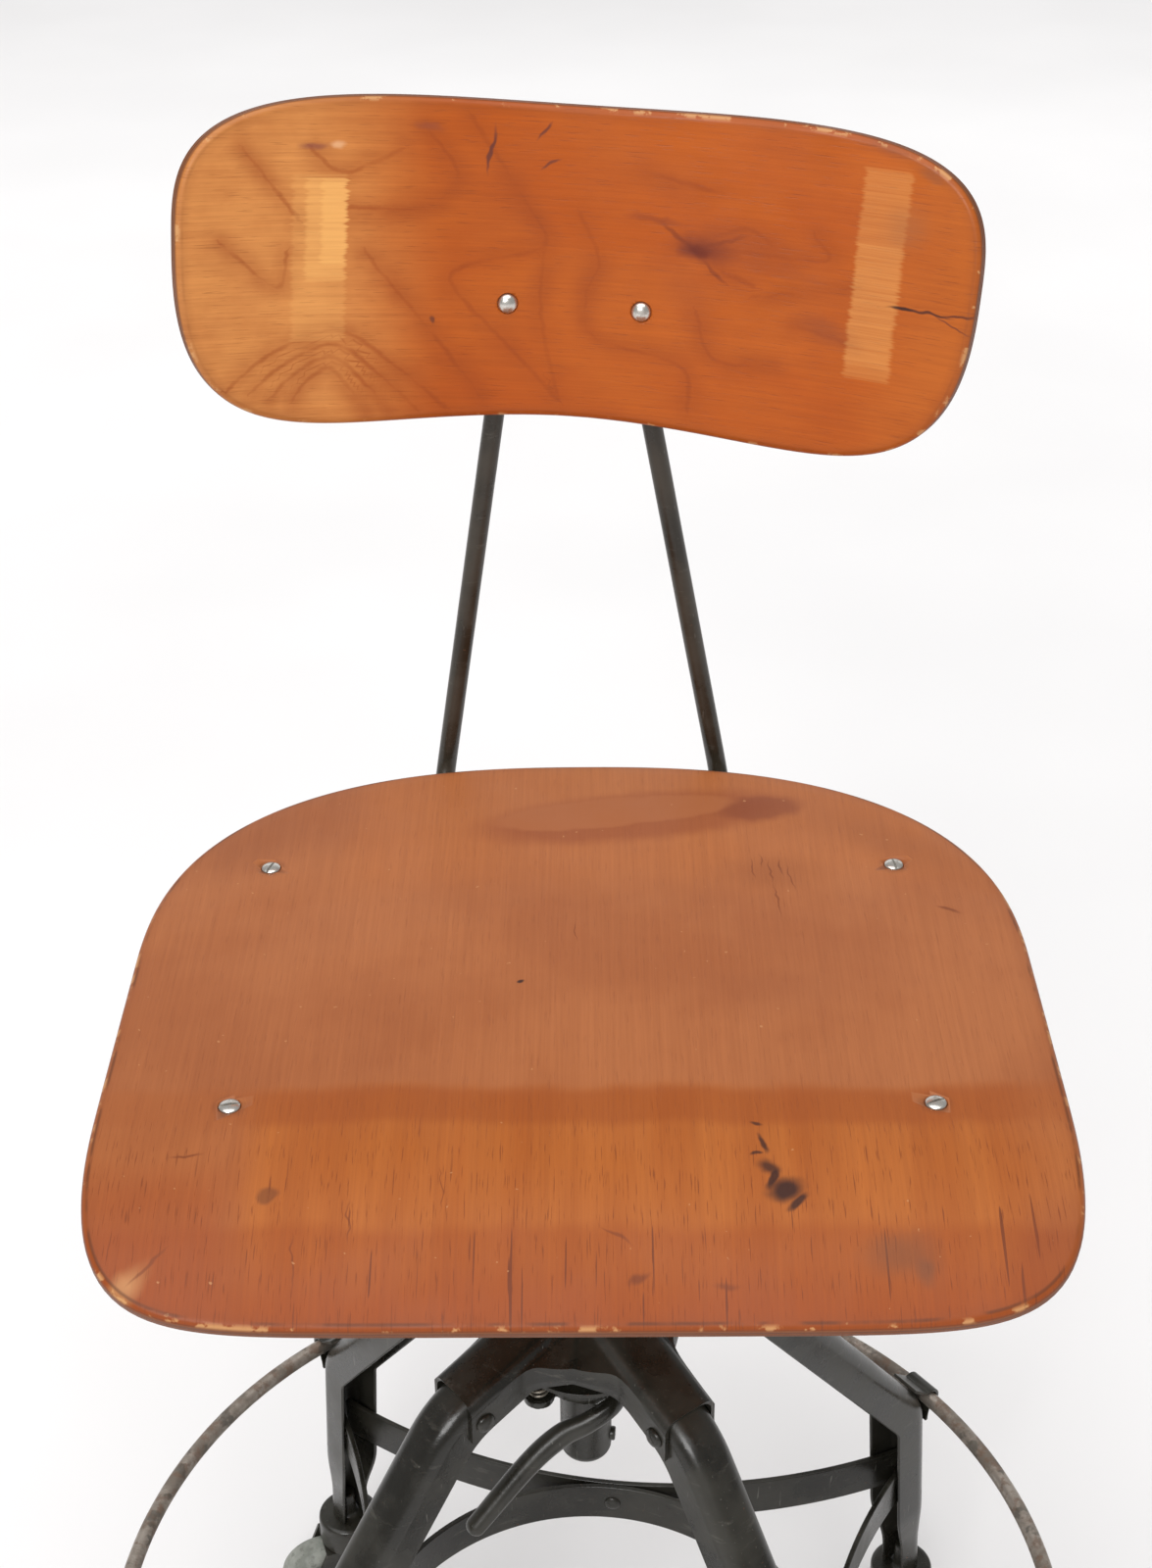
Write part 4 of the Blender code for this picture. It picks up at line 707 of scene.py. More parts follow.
# Marks on the seat: centre, half sizes, turn, softness, strength and colour. Metres.
SEAT_MARKS = (
    ((0.025, 0.134), (0.072, 0.020), 9, 0.25, 0.60, (0.235, 0.052, 0.014)),
    ((0.086, 0.141), (0.020, 0.010), 8, 0.30, 0.60, (0.190, 0.040, 0.012)),
    ((0.016, 0.138), (0.058, 0.0125), 9, 0.10, 0.85, (0.345, 0.106, 0.032)),
    ((0.079, -0.126), (0.0068, 0.0050), 20, 0.5, 0.95, INK),
    ((0.073, -0.115), (0.0045, 0.0030), -30, 0.6, 0.85, INK),
    ((0.071, -0.102), (0.0011, 0.0050), 12, 0.5, 0.85, INK),
    ((0.069, -0.091), (0.0024, 0.0010), -30, 0.5, 0.8, INK),
    ((0.083, -0.132), (0.0050, 0.0016), 40, 0.4, 0.90, INK),
    ((0.074, -0.121), (0.0016, 0.0050), -25, 0.4, 0.90, INK),
    ((0.068, -0.108), (0.0022, 0.0009), 10, 0.4, 0.80, INK),
    ((-0.122, -0.128), (0.0040, 0.0036), 12, 0.3, 0.55, (0.10, 0.030, 0.012)),
    ((-0.178, -0.172), (0.0150, 0.0050), 48, 0.6, 0.55, RAW_WOOD),
    ((0.121, -0.154), (0.0120, 0.0075), 0, 0.8, 0.50, GREY_MARK),
    ((0.129, -0.161), (0.0030, 0.0050), 10, 0.7, 0.55, GREY_MARK),
    ((0.021, -0.163), (0.0040, 0.0016), 30, 0.6, 0.75, BROWN_MARK),
    ((0.013, -0.146), (0.0050, 0.0006), -30, 0.6, 0.6, BROWN_MARK),
    ((0.054, -0.166), (0.0042, 0.0014), 0, 0.7, 0.65, BROWN_MARK),
    ((-0.026, 0.004), (0.0014, 0.0014), 0, 0.5, 0.95, INK),
    ((0.090, 0.087), (0.0180, 0.0110), 0, 0.9, 0.28, BROWN_MARK),
    ((0.080, -0.004), (0.0240, 0.0130), 0, 0.9, 0.30, (0.24, 0.066, 0.022)),
    ((-0.157, 0.110), (0.0300, 0.0160), 40, 0.9, 0.32, (0.20, 0.050, 0.014)),
    ((0.150, 0.108), (0.0340, 0.0120), -35, 0.9, 0.30, (0.21, 0.060, 0.020)),
    ((-0.156, -0.108), (0.0060, 0.0007), 5, 0.5, 0.7, BROWN_MARK),
    ((-0.165, -0.158), (0.0090, 0.0006), 45, 0.5, 0.6, BROWN_MARK),
    ((0.178, -0.150), (0.0200, 0.0100), 50, 0.9, 0.40, (0.22, 0.045, 0.010)),
    ((0.166, 0.056), (0.0050, 0.0009), -30, 0.6, 0.7, BROWN_MARK),
)
SEAT_SCRATCHES = tuple((centre, size, 4.0, 0.5, 0.6, BROWN_MARK) for centre, size in (
    ((0.079, 0.090), (0.0004, 0.0070)), ((0.083, 0.096), (0.0004, 0.0050)),
    ((0.087, 0.088), (0.0004, 0.0080)), ((0.092, 0.090), (0.0004, 0.0060)),
    ((0.096, 0.083), (0.0004, 0.0090)), ((0.089, 0.064), (0.0004, 0.0100)),
    ((-0.003, 0.040), (0.0003, 0.0050)), ((-0.090, -0.140), (0.0004, 0.0080)),
    ((-0.110, -0.156), (0.0004, 0.0100)), ((-0.055, -0.125), (0.0003, 0.0090)),
))


def seat_wood():
    shader = Shader("seat_plywood")
    flat = shader.attribute("flat")
    depth = shader.axes(flat)[2]
    rim = shader.attribute("rim", "Fac")
    ragged = shader.warp(flat, 90.0, 0.006)
    across, along, _ = shader.axes(shader.warp(flat, 24.0, 0.014))
    sharp_across = shader.axes(ragged)[0]
    worn = shader.mix(shader.fade(shader.noise(flat, 9.0, 4.0, 0.55), 0.35, 0.65), *SEAT_WORN)
    fresh = shader.mix(shader.fade(shader.streaks(flat, (55.0, 6.0, 1.0)), 0.3, 0.7), *SEAT_FRESH)
    inner = shader.times(shader.fade(sharp_across, -0.142, -0.122, 0.25, 1.0),
                         shader.fade(sharp_across, 0.160, 0.190, 1.0, 0.45))
    colour = shader.tint(worn, fresh, shader.fade(along, -0.062, -0.076), inner)
    # Painted shade: a darker band across the seat in front of the front screws, where the surface bends down.
    crease_shade = shader.times(shader.fade(along, -0.064, -0.072), shader.fade(along, -0.094, -0.086))
    colour = shader.tint(colour, SEAT_CREASE_SHADE, crease_shade, inner, 0.62)
    # Painted shade: the down-turned front is darkened as shade on a face turned away from the light.
    roll_shade = shader.calc("ADD", shader.fade(along, -0.138, -0.147, 0.0, 0.50),
                         shader.fade(along, -0.150, -0.180, 0.0, 0.40))
    colour = shader.tint(colour, SEAT_ROLL_SHADE, roll_shade)
    colour = shader.tint(colour, SEAT_CORNER, shader.fade(along, -0.105, -0.135),
                         shader.fade(across, -0.130, -0.150, 0.0, 0.6))
    colour = shader.tint(colour, SEAT_REAR, shader.fade(along, 0.062, 0.100),
                         shader.fade(sharp_across, -0.120, -0.095), 0.45)
    pores, fibres = wood_pores(shader, flat, along_x=False)
    colour = shader.tint(colour, BROWN_MARK, shader.fade(fibres, 0.30, 0.72, 0.22, 0.0))
    colour = shader.tint(colour, BROWN_MARK, pores, shader.fade(along, -0.060, -0.130, 0.20, 0.70))
    splits = shader.fade(shader.streaks(flat, (420.0, 16.0, 1.0), 1.0), 0.700, 0.725)
    colour = shader.tint(colour, SPLIT_BROWN, splits, shader.fade(along, -0.095, -0.140, 0.0, 0.75))
    colour = add_marks(shader, colour, ragged, front_face(shader, depth), SEAT_MARKS + SEAT_SCRATCHES)
    for place in SCREW_PLACES:
        grime = shader.spot(flat, place, (0.0062, 0.0062), 0.0, 0.35)
        colour = shader.tint(colour, SCREW_GRIME, grime, 0.35)
    flecks = shader.fade(shader.noise(flat, 260.0, 2.0, 0.4), 0.745, 0.78)
    colour = shader.tint(colour, FLECK, flecks, 0.6)
    colour = rim_wear(shader, colour, flat, depth, rim, 75.0, 0.54, 0.65)
    roughness = shader.fade(shader.noise(flat, 22.0, 4.0), 0.35, 0.65, 0.40, 0.52)
    return varnish(shader, colour, roughness, fibres, pores)


# Marks on the back panel, in the same form.
BACK_MARKS = (
    ((0.056, 0.004), (0.0110, 0.0048), -6, 0.8, 0.85, (0.17, 0.028, 0.010)),
    ((0.050, 0.002), (0.0050, 0.0030), 0, 0.7, 0.60, (0.12, 0.020, 0.012)),
    ((0.054, 0.003), (0.0050, 0.0026), -6, 0.5, 0.55, (0.110, 0.012, 0.004)),
    ((0.066, 0.009), (0.0080, 0.0010), 24, 0.6, 0.55, KNOT_RAY),
    ((0.043, 0.009), (0.0070, 0.0010), -38, 0.6, 0.55, KNOT_RAY),
    ((0.062, -0.006), (0.0070, 0.0010), -42, 0.6, 0.50, KNOT_RAY),
    ((0.076, 0.008), (0.0240, 0.0055), -8, 0.9, 0.42, KNOT_GLOW),
    ((0.090, -0.002), (0.0200, 0.0028), -4, 0.8, 0.45, KNOT_GLOW),
    ((0.033, 0.015), (0.0100, 0.0016), -8, 0.7, 0.60, (0.24, 0.045, 0.012)),
    ((0.115, -0.026), (0.0120, 0.0045), -20, 0.8, 0.45, (0.26, 0.060, 0.018)),
    ((0.048, -0.013), (0.0070, 0.0150), 30, 0.9, 0.25, KNOT_GLOW),
    ((-0.041, 0.041), (0.0008, 0.0085), -8, 0.5, 0.90, (0.12, 0.030, 0.020)),
    ((-0.018, 0.051), (0.0042, 0.0007), 55, 0.5, 0.80, (0.12, 0.030, 0.020)),
    ((-0.014, 0.037), (0.0040, 0.0007), 30, 0.5, 0.80, (0.14, 0.035, 0.020)),
    ((-0.118, 0.041), (0.0060, 0.0016), 0, 0.7, 0.70, (0.22, 0.060, 0.040)),
    ((-0.068, 0.050), (0.0050, 0.0014), -5, 0.8, 0.60, (0.26, 0.060, 0.025)),
    ((-0.108, 0.042), (0.0022, 0.0012), 0, 0.7, 0.70, (0.74, 0.42, 0.22)),
    ((-0.064, -0.035), (0.0012, 0.0016), 0, 0.5, 0.85, (0.14, 0.035, 0.015)),
    ((0.148, -0.010), (0.0060, 0.0009), -3, 0.5, 0.95, INK),
    ((0.160, -0.011), (0.0090, 0.0007), -4, 0.5, 0.90, (0.07, 0.020, 0.012)),
    ((0.173, -0.010), (0.0080, 0.0006), 8, 0.5, 0.85, (0.10, 0.025, 0.014)),
    ((0.170, -0.015), (0.0090, 0.0004), -22, 0.5, 0.75, (0.14, 0.035, 0.018)),
    ((0.154, 0.048), (0.0060, 0.0025), -20, 0.8, 0.50, (0.24, 0.080, 0.035)),
    ((0.170, 0.042), (0.0016, 0.0016), 0, 0.5, 0.80, (0.16, 0.045, 0.020)),
    ((0.132, 0.058), (0.0090, 0.0030), -10, 0.9, 0.40, (0.24, 0.070, 0.030)),
    ((0.145, 0.024), (0.0080, 0.0080), 0, 0.9, 0.40, (0.34, 0.120, 0.040)),
    ((0.060, -0.087), (0.0180, 0.0030), -6, 0.9, 0.40, (0.24, 0.050, 0.015)),
)
TORN_EDGE = 0.006
BACK_PATCHES = (     # left edge, right edge, bottom, top, strength
    (-0.128, -0.104, -0.044, 0.029, 0.26),
    (-0.122, -0.104, -0.017, 0.028, 0.50),
    (-0.115, -0.104, -0.010, 0.026, 0.75),
    (0.124, 0.145, -0.045, 0.048, 0.26),
    (0.124, 0.144, -0.038, 0.015, 0.14),
)


def patch_mask(shader, vector, left, right, low, high, soft=0.0012):
    """1 inside a rectangle on the panel, with soft sides."""
    across, up, _ = shader.axes(vector)
    sides = shader.times(shader.fade(across, left - soft, left + soft),
                         shader.drop(across, right - soft, right + soft))
    ends = shader.times(shader.fade(up, low - soft, low + soft), shader.drop(up, high - soft, high + soft))
    return shader.times(sides, ends)


# The back veneer's figure: the lines of its grain, in millimetres on the panel.
BACK_FIGURE = (
    ((-50, 55), (-25, 20), (-15, 0), (-50, -10), (-55, -20), (-30, -45), (-5, -70)),
    ((-95, -5), (-65, -40), (-40, -70)),
    ((-105, 15), (-70, 15), (-55, 30), (-70, 50)),
    ((-120, 40), (-105, 30), (-80, 40)),
    ((-150, 40), (-125, 10)),
    ((-160, 0), (-135, -20), (-130, -5)),
    ((-15, 5), (-15, -30), (-5, -70)),
    ((0, 15), (10, -5), (5, -20), (10, -40), (50, -50), (55, -70)),
    ((55, -25), (65, -45), (95, -45)),
    ((60, 5), (110, 5), (105, 15)),
    ((60, 10), (75, 15), (85, 10)),
    ((80, -15), (125, -5)),
    ((100, -25), (125, -30)),
    ((65, -5), (80, -10)),
    ((30, 35), (60, 30)),
)
# Nested arches in its lower left corner, each smaller than the one outside it.
ARCHES = tuple(tuple((-112 + share * a, -80 + (0.35 + 0.65 * share) * b)
                     for a, b in ((-45, 15), (-25, 30), (5, 40), (30, 25), (55, 5)))
               for share in (1.0, 0.76, 0.54, 0.34))


def figure_lines(shader, flat):
    """The drawn grain lines, ragged and broken, each with a soft shade beside it."""
    distance, share, shade = shader.axes(shader.attribute("figure"))
    wander = shader.calc("SUBTRACT", shader.streaks(flat, (130.0, 210.0, 1.0), 4.0, 0.65), 0.5)
    ragged = shader.calc("ADD", distance, shader.times(wander, 0.0030))
    core = shader.drop(shader.calc("ABSOLUTE", ragged), 0.0, 0.0026)
    broken = shader.fade(shader.noise(flat, 45.0), 0.30, 0.60, 0.55, 1.0)
    soft = shader.times(shade, shader.fade(shader.noise(flat, 30.0), 0.35, 0.65, 0.16, 0.52))
    return shader.calc("MAXIMUM", shader.times(core, share, broken, 0.66), soft)


def back_wood():
    shader = Shader("back_plywood")
    flat = shader.attribute("flat")
    depth = shader.axes(flat)[2]
    face = front_face(shader, depth)
    rim = shader.attribute("rim", "Fac")
    ragged = shader.warp(flat, 90.0, 0.006)
    across = shader.axes(shader.warp(flat, 14.0, 0.03))[0]
    cloud = shader.streaks(flat, (7.0, 16.0, 1.0), 4.0, 0.55)
    colour = shader.mix(shader.fade(cloud, 0.32, 0.68), *BACK_PLAIN)
    colour = shader.tint(colour, BACK_LEFT, shader.fade(across, -0.055, -0.125), 0.85)
    colour = shader.tint(colour, BACK_RIGHT, shader.fade(across, 0.120, 0.165), 0.45)
    mottle = shader.fade(shader.streaks(flat, (22.0, 30.0, 1.0), 4.0, 0.6), 0.42, 0.66)
    colour = shader.tint(colour, BACK_MOTTLE, mottle, 0.22)
    colour = shader.tint(colour, BACK_LINE, figure_lines(shader, flat), face)
    pores, fibres = wood_pores(shader, flat, along_x=True)
    colour = shader.tint(colour, BACK_FIBRE, shader.fade(fibres, 0.30, 0.72, 0.26, 0.0))
    colour = shader.tint(colour, BROWN_MARK, pores, 0.30)
    comb = shader.streaks(flat, (4.0, 900.0, 1.0), 2.0, output="Color")
    shift = shader.vector_calc("SCALE", {0: comb, "Scale": TORN_EDGE})
    torn = shader.vector_calc("ADD", {0: flat, 1: shift})
    torn = shader.vector_calc("ADD", {0: torn, 1: (-TORN_EDGE / 2, -TORN_EDGE / 2, 0.0)})
    grain = shader.fade(fibres, 0.30, 0.62, 0.55, 1.0)
    for left, right, low, high, strength in BACK_PATCHES:
        mask = patch_mask(shader, torn, left, right, low, high)
        colour = shader.tint(colour, BACK_PATCH, mask, grain, face, strength)
    colour = add_marks(shader, colour, ragged, face, BACK_MARKS)
    colour = rim_wear(shader, colour, flat, depth, rim, 90.0, 0.55, 0.12)
    roughness = shader.fade(shader.noise(flat, 26.0, 4.0), 0.35, 0.65, 0.34, 0.48)
    return varnish(shader, colour, roughness, fibres, pores)


def enamel(name, dark, light, rust_share, roughness=0.26):
    """Old olive-grey enamel: uneven gloss, dust, fine scratches and specks of rust."""
    shader = Shader(name)
    place = shader.place()
    cloud = shader.noise(place, 28.0, 5.0, 0.6)
    colour = shader.mix(shader.fade(cloud, 0.35, 0.65), dark, light)
    dust = shader.fade(shader.streaks(place, (60.0, 60.0, 240.0), 4.0, 0.7), 0.58, 0.72, 0.0, 0.20)
    colour = shader.tint(colour, (0.17, 0.16, 0.135), dust)
    rust = shader.fade(shader.noise(place, 190.0, 4.0, 0.72), 1.0 - rust_share, 1.06 - rust_share)
    colour = shader.tint(colour, (0.115, 0.050, 0.026), rust, 0.8)
    scratch = shader.fade(shader.streaks(place, (900.0, 900.0, 70.0), 2.0), 0.70, 0.76)
    colour = shader.tint(colour, (0.26, 0.25, 0.22), scratch, 0.30)
    shader.set(colour, shader.fade(cloud, 0.3, 0.7, roughness - 0.06, roughness + 0.12), specular=0.42)
    lumps = shader.calc("ADD", shader.noise(place, 420.0, 3.0, 0.6), shader.times(rust, -0.5))
    shader.bump(lumps, 0.12, 0.0006)
    return shader.material


def worn_ring_steel():
    """Steel rubbed bare by shoes, with brown oxide and scraps of the old enamel."""
    shader = Shader("worn_ring_steel")
    place = shader.place()
    cloud = shader.noise(place, 45.0, 5.0, 0.65)
    colour = shader.mix(shader.fade(cloud, 0.38, 0.62), (0.17, 0.14, 0.112), (0.42, 0.37, 0.32))
    rust = shader.fade(shader.noise(place, 130.0, 4.0, 0.7), 0.50, 0.62)
    colour = shader.tint(colour, (0.16, 0.085, 0.050), rust, 0.55)
    paint = shader.fade(shader.noise(place, 70.0, 3.0, 0.6), 0.56, 0.62)
    colour = shader.tint(colour, (0.080, 0.076, 0.064), paint, 0.6)
    metal = shader.fade(cloud, 0.4, 0.6, 0.2, 0.75)
    shader.set(colour, shader.fade(cloud, 0.3, 0.7, 0.55, 0.36), metal)
    shader.bump(shader.noise(place, 300.0, 4.0, 0.7), 0.25, 0.0008)
    return shader.material


def bare_steel(name, colour, roughness):
    """Dull plated steel with fine scratches and a little grime in patches."""
    shader = Shader(name)
    place = shader.place()
    grime = shader.fade(shader.noise(place, 240.0, 4.0, 0.6), 0.48, 0.68)
    tinted = shader.mix(shader.times(grime, 0.45), colour, (0.20, 0.16, 0.12))
    shader.set(tinted, shader.fade(grime, 0.0, 1.0, roughness, roughness + 0.22), 0.92)
    shader.bump(shader.streaks(place, (1500.0, 500.0, 500.0), 2.0), 0.12, 0.0002)
    return shader.material


def wheel_rubber():
    """Grey rubber with dirt rubbed into it."""
    shader = Shader("wheel_rubber")
    place = shader.place()
    cloud = shader.noise(place, 60.0, 4.0, 0.6)
    colour = shader.mix(shader.fade(cloud, 0.35, 0.65), (0.17, 0.18, 0.155), (0.30, 0.31, 0.275))
    dirt = shader.fade(shader.noise(place, 210.0, 4.0, 0.7), 0.52, 0.66)
    colour = shader.tint(colour, (0.085, 0.080, 0.068), dirt, 0.5)
    shader.set(colour, 0.62)
    shader.bump(shader.noise(place, 700.0), 0.2, 0.0004)
    return shader.material


# ---- wood panels ---------------------------------------------------------------------
def inset(outline, distance):
    """Move each point of a counter-clockwise outline inwards by the distance."""
    moved = []
    for before, here, after in zip(outline[-1:] + outline[:-1], outline, outline[1:] + outline[:1]):
        along = Vector((after[0] - before[0], after[1] - before[1])).normalized()
        moved.append((here[0] - along.y * distance, here[1] + along.x * distance))
    return moved


def even_points(curve, count):
    """Evenly spaced points on a closed curve given as a dense list."""
    steps = [math.dist(a, b) for a, b in zip(curve, curve[1:] + curve[:1])]
    total = sum(steps)
    picked = []
    run = 0.0
    for here, step, there in zip(curve, steps, curve[1:] + curve[:1]):
        while len(picked) < count and len(picked) * total / count < run + step:
            t = (len(picked) * total / count - run) / step
            picked.append(tuple(a + (b - a) * t for a, b in zip(here, there)))
        run += step
    return picked


def edge_steps(thickness, edge):
    """(inset, depth) pairs round a panel's edge, with a fine groove at each glue line."""
    steps = [(edge * (1 - math.sin(a)), edge * (1 - math.cos(a)))
             for a in (math.pi / 2 * k / EDGE_STEPS for k in range(EDGE_STEPS + 1))]
    for share in GLUE_LINES:
        line = thickness * share
        steps += [(0.0, line - GROOVE_HALF), (GROOVE_DEPTH, line - GROOVE_FLOOR),
                  (GROOVE_DEPTH, line + GROOVE_FLOOR), (0.0, line + GROOVE_HALF)]
    return steps + [(a, thickness - b) for a, b in reversed(steps[:EDGE_STEPS + 1])]


def add_attribute(mesh, name, values):
    """Keep a value, or a vector, at each point of the mesh."""
    kind, field = ("FLOAT_VECTOR", "vector") if values.ndim == 2 else ("FLOAT", "value")
    mesh.attributes.new(name, kind, "POINT").data.foreach_set(field, values.ravel())


def panel(name, outline, centre, thickness, edge, place, rings, strokes=()):
    """A bent plywood panel whose mesh keeps its flat coordinates and its rim distance."""
    face = inset(outline, edge)
    scales = [k / rings for k in range(1, rings)]
    loops = [[(centre[0] + (a - centre[0]) * s, centre[1] + (b - centre[1]) * s, 0.0) for a, b in face]
             for s in scales]
    for distance, depth in edge_steps(thickness, edge):
        loops.append([(a, b, depth) for a, b in inset(outline, distance)])
    loops += [[(a, b, thickness) for a, b, _ in loop] for loop in reversed(loops[:len(scales)])]
    points = [point for loop in loops for point in loop]
    points += [(*centre, 0.0), (*centre, thickness)]
    count = len(outline)
    faces = []
    for k in range(len(loops) - 1):
        for i in range(count):
            j = (i + 1) % count
            faces.append((k * count + i, k * count + j, (k + 1) * count + j, (k + 1) * count + i))
    last = (len(loops) - 1) * count
    for i in range(count):
        j = (i + 1) % count
        faces.append((len(points) - 2, j, i))
        faces.append((len(points) - 1, last + i, last + j))
    mesh = bpy.data.meshes.new(name)
    mesh.from_pydata([place(*point) for point in points], [], faces)
    flat = np.array(points, np.float32)
    add_attribute(mesh, "flat", flat)
    add_attribute(mesh, "rim", rim_distance(flat, outline))
    if strokes:
        add_attribute(mesh, "figure", stroke_field(flat[:, :2], strokes))
    mesh.shade_smooth()
    resharpened(mesh, 50)
    bm = bmesh.new()
    bm.from_mesh(mesh)
    bmesh.ops.recalc_face_normals(bm, faces=bm.faces)
    bm.to_mesh(mesh)
    bm.free()
    return mesh


def rim_distance(flat, outline):
    """Distance of each flat point from the outline."""
    edge = np.array(outline, np.float32)
    parts = np.array_split(flat[:, :2], 40)
    nearest = [np.sqrt(((part[:, None, :] - edge[None, :, :]) ** 2).sum(2)).min(1) for part in parts]
    return np.concatenate(nearest).astype(np.float32)


def stroke_field(flat, strokes):
    """For each flat point: signed distance to the nearest stroke, line share and shade."""
    starts = []
    ends = []
    for stroke in strokes:
        line = smooth_line([(a / 1000, b / 1000, 0.0) for a, b in stroke], 6)
        starts += [point[:2] for point in line[:-1]]
        ends += [point[:2] for point in line[1:]]
    starts = np.array(starts, np.float32)
    along = np.array(ends, np.float32) - starts
    length = (along ** 2).sum(1)
    found = []
    for part in np.array_split(flat, 60):
        reach = part[:, None, :] - starts[None, :, :]
        share = np.clip((reach * along).sum(2) / length, 0.0, 1.0)
        gap = np.sqrt(((reach - share[:, :, None] * along) ** 2).sum(2))
        nearest = gap.argmin(1)
        rows = np.arange(len(part))
        side = along[nearest, 0] * reach[rows, nearest, 1] - along[nearest, 1] * reach[rows, nearest, 0]
        distance = gap[rows, nearest]
        line_share = np.clip((STROKE_REACH - distance) / STROKE_FADE, 0.0, 1.0)
        shade = np.exp(-(distance / STROKE_SHADE) ** 2)
        found.append(np.stack([distance * np.sign(side), line_share, shade], 1))
    return np.concatenate(found).astype(np.float32)


def seat_place(x, y, depth):
    along = max(0.0, (SEAT_ROLL_START - y) / (SEAT_ROLL_START - SEAT_FRONT_Y))
    tilt = math.atan(2 * SEAT_FRONT_DROP * along / (SEAT_ROLL_START - SEAT_FRONT_Y))
    height = SEAT_HEIGHT - SEAT_FRONT_DROP * along ** 2
    return Vector((x, y + depth * math.sin(tilt), height - depth * math.cos(tilt)))


def squircle_outline(count, upper_power, lower_power, shaped):
    """Even points round a superellipse of unit half sizes, each sent through a function."""
    curve = []
    for k in range(OUTLINE_STEPS):
        angle = 2 * math.pi * k / OUTLINE_STEPS
        upper = math.sin(angle) > 0
        power = upper_power if upper else lower_power
        across, up = (math.copysign(abs(part) ** (2 / power), part)
                      for part in (math.cos(angle), math.sin(angle)))
        curve.append(shaped(across, up, upper))
    return even_points(curve, count)


def seat_shape(across, along, rear):
    depth = SEAT_HIGH.y - SEAT_WIDEST_Y if rear else SEAT_WIDEST_Y - SEAT_FRONT_Y
    return (SEAT_HALF_WIDTH * across, SEAT_WIDEST_Y + depth * along)


def back_shape(across, up, upper):
    height = BACK_TOP if upper else BACK_BOTTOM
    flare = (BACK_TOP_RISE if upper else -BACK_BOTTOM_DROP) * across ** 2 * abs(up)
    return (BACK_HALF_WIDTH * across, height * up + flare)


def back_place_flat(across, up, depth):
    """A point of the curved panel in its own frame, depth behind its front face."""
    angle = across / BACK_CURVE
    reach = BACK_CURVE + depth
    return Vector((reach * math.sin(angle), reach * math.cos(angle) - BACK_CURVE, up))


BACK_FRAME = (move(*BACK_CENTRE) @ Matrix.Rotation(-BACK_LEAN, 4, "X")
              @ Matrix.Rotation(BACK_ROLL, 4, "Y"))


def back_screw_place(side):
    """Frame on the panel's front face, its Z pointing out of the wood at the front."""
    angle = side * BACK_SCREW_X / BACK_CURVE
    spot = back_place_flat(side * BACK_SCREW_X, -BACK_SCREW_DROP, 0.0)
    return BACK_FRAME @ Matrix.Translation(spot) @ along_axis((-math.sin(angle), -math.cos(angle), 0.0))


def make_seat(material):
    outline = squircle_outline(320, SEAT_REAR_POWER, SEAT_FRONT_POWER, seat_shape)
    mesh = panel("seat_panel", outline, (0.0, SEAT_WIDEST_Y), SEAT_PLY, SEAT_EDGE, seat_place, 26)
    recess = [(cylinder("recess", SCREW_HEAD + SLIP, -SCREW_SINK, SCREW_DOME, 40), move(x, y, SEAT_HEIGHT))
              for x, y in SCREW_PLACES]
    piece("seat_panel", combined(mesh, recess, "DIFFERENCE"), "seat", material)


def make_seat_screws(material):
    """Oval-headed screws with a slot, let into the wood."""
    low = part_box("seat_screw_1")[0].z - SEAT_HEIGHT
    profile = [(0.0, low), (SCREW_SHANK, low), (SCREW_SHANK, -SCREW_SINK), (SCREW_HEAD, -SCREW_SINK)]
    profile += dome(SCREW_HEAD, SCREW_DOME)
    half = SCREW_HEAD * 1.2
    for number, ((x, y), turn) in enumerate(zip(SCREW_PLACES, SCREW_TURNS), 1):
        node = f"seat_screw_{number}"
        slot = box_mesh("slot", (-half, -SLOT_HALF, 0.0), (half, SLOT_HALF, 2 * SCREW_DOME))
        mesh = combined(lathe("seat_screw_head", profile, 48), [(slot, turn_z(turn))], "DIFFERENCE")
        piece(node + "_turned", resharpened(mesh), node, material, move(x, y, SEAT_HEIGHT), 0.0001)


def make_back(material):
    outline = squircle_outline(420, BACK_TOP_POWER, BACK_BOTTOM_POWER, back_shape)
    mesh = panel("back_panel", outline, (0.0, 0.0), BACK_PLY, BACK_EDGE, back_place_flat, 64,
                 BACK_FIGURE + ARCHES)
    mesh.transform(BACK_FRAME)
    recess = [(cylinder("recess", SCREW_HEAD + GAP, -BACK_SCREW_SINK, BACK_DOME, 40), back_screw_place(side))
              for side in (-1, 1)]
    piece("back_panel", combined(mesh, recess, "DIFFERENCE"), "backrest", material)


def make_back_screws(material):
    """Dome-headed screws, with a hexagon nut on the rod's flattened end behind."""
    rear = BACK_PLY + 2 * PADDLE_HALF_THICK + 3 * GAP
    end = -rear - SCREW_SHANK
    profile = [(0.0, end), (SCREW_SHANK, end), (SCREW_SHANK, GAP - BACK_SCREW_SINK),
               (SCREW_HEAD, GAP - BACK_SCREW_SINK)] + dome(SCREW_HEAD, BACK_DOME, steps=10)
    nut_end = -rear - NUT_THICK
    nut = ((0.0, nut_end), (NUT_RADIUS, nut_end), (NUT_RADIUS, -rear), (0.0, -rear))
    for side, name in ((-1, "back_screw_left"), (1, "back_screw_right")):
        place = back_screw_place(side)
        piece(name + "_turned", lathe(name, profile, 48), name, material, place)
        trim(name + "_nut", lathe("nut", nut, 6), name, material, place, 0.0002)


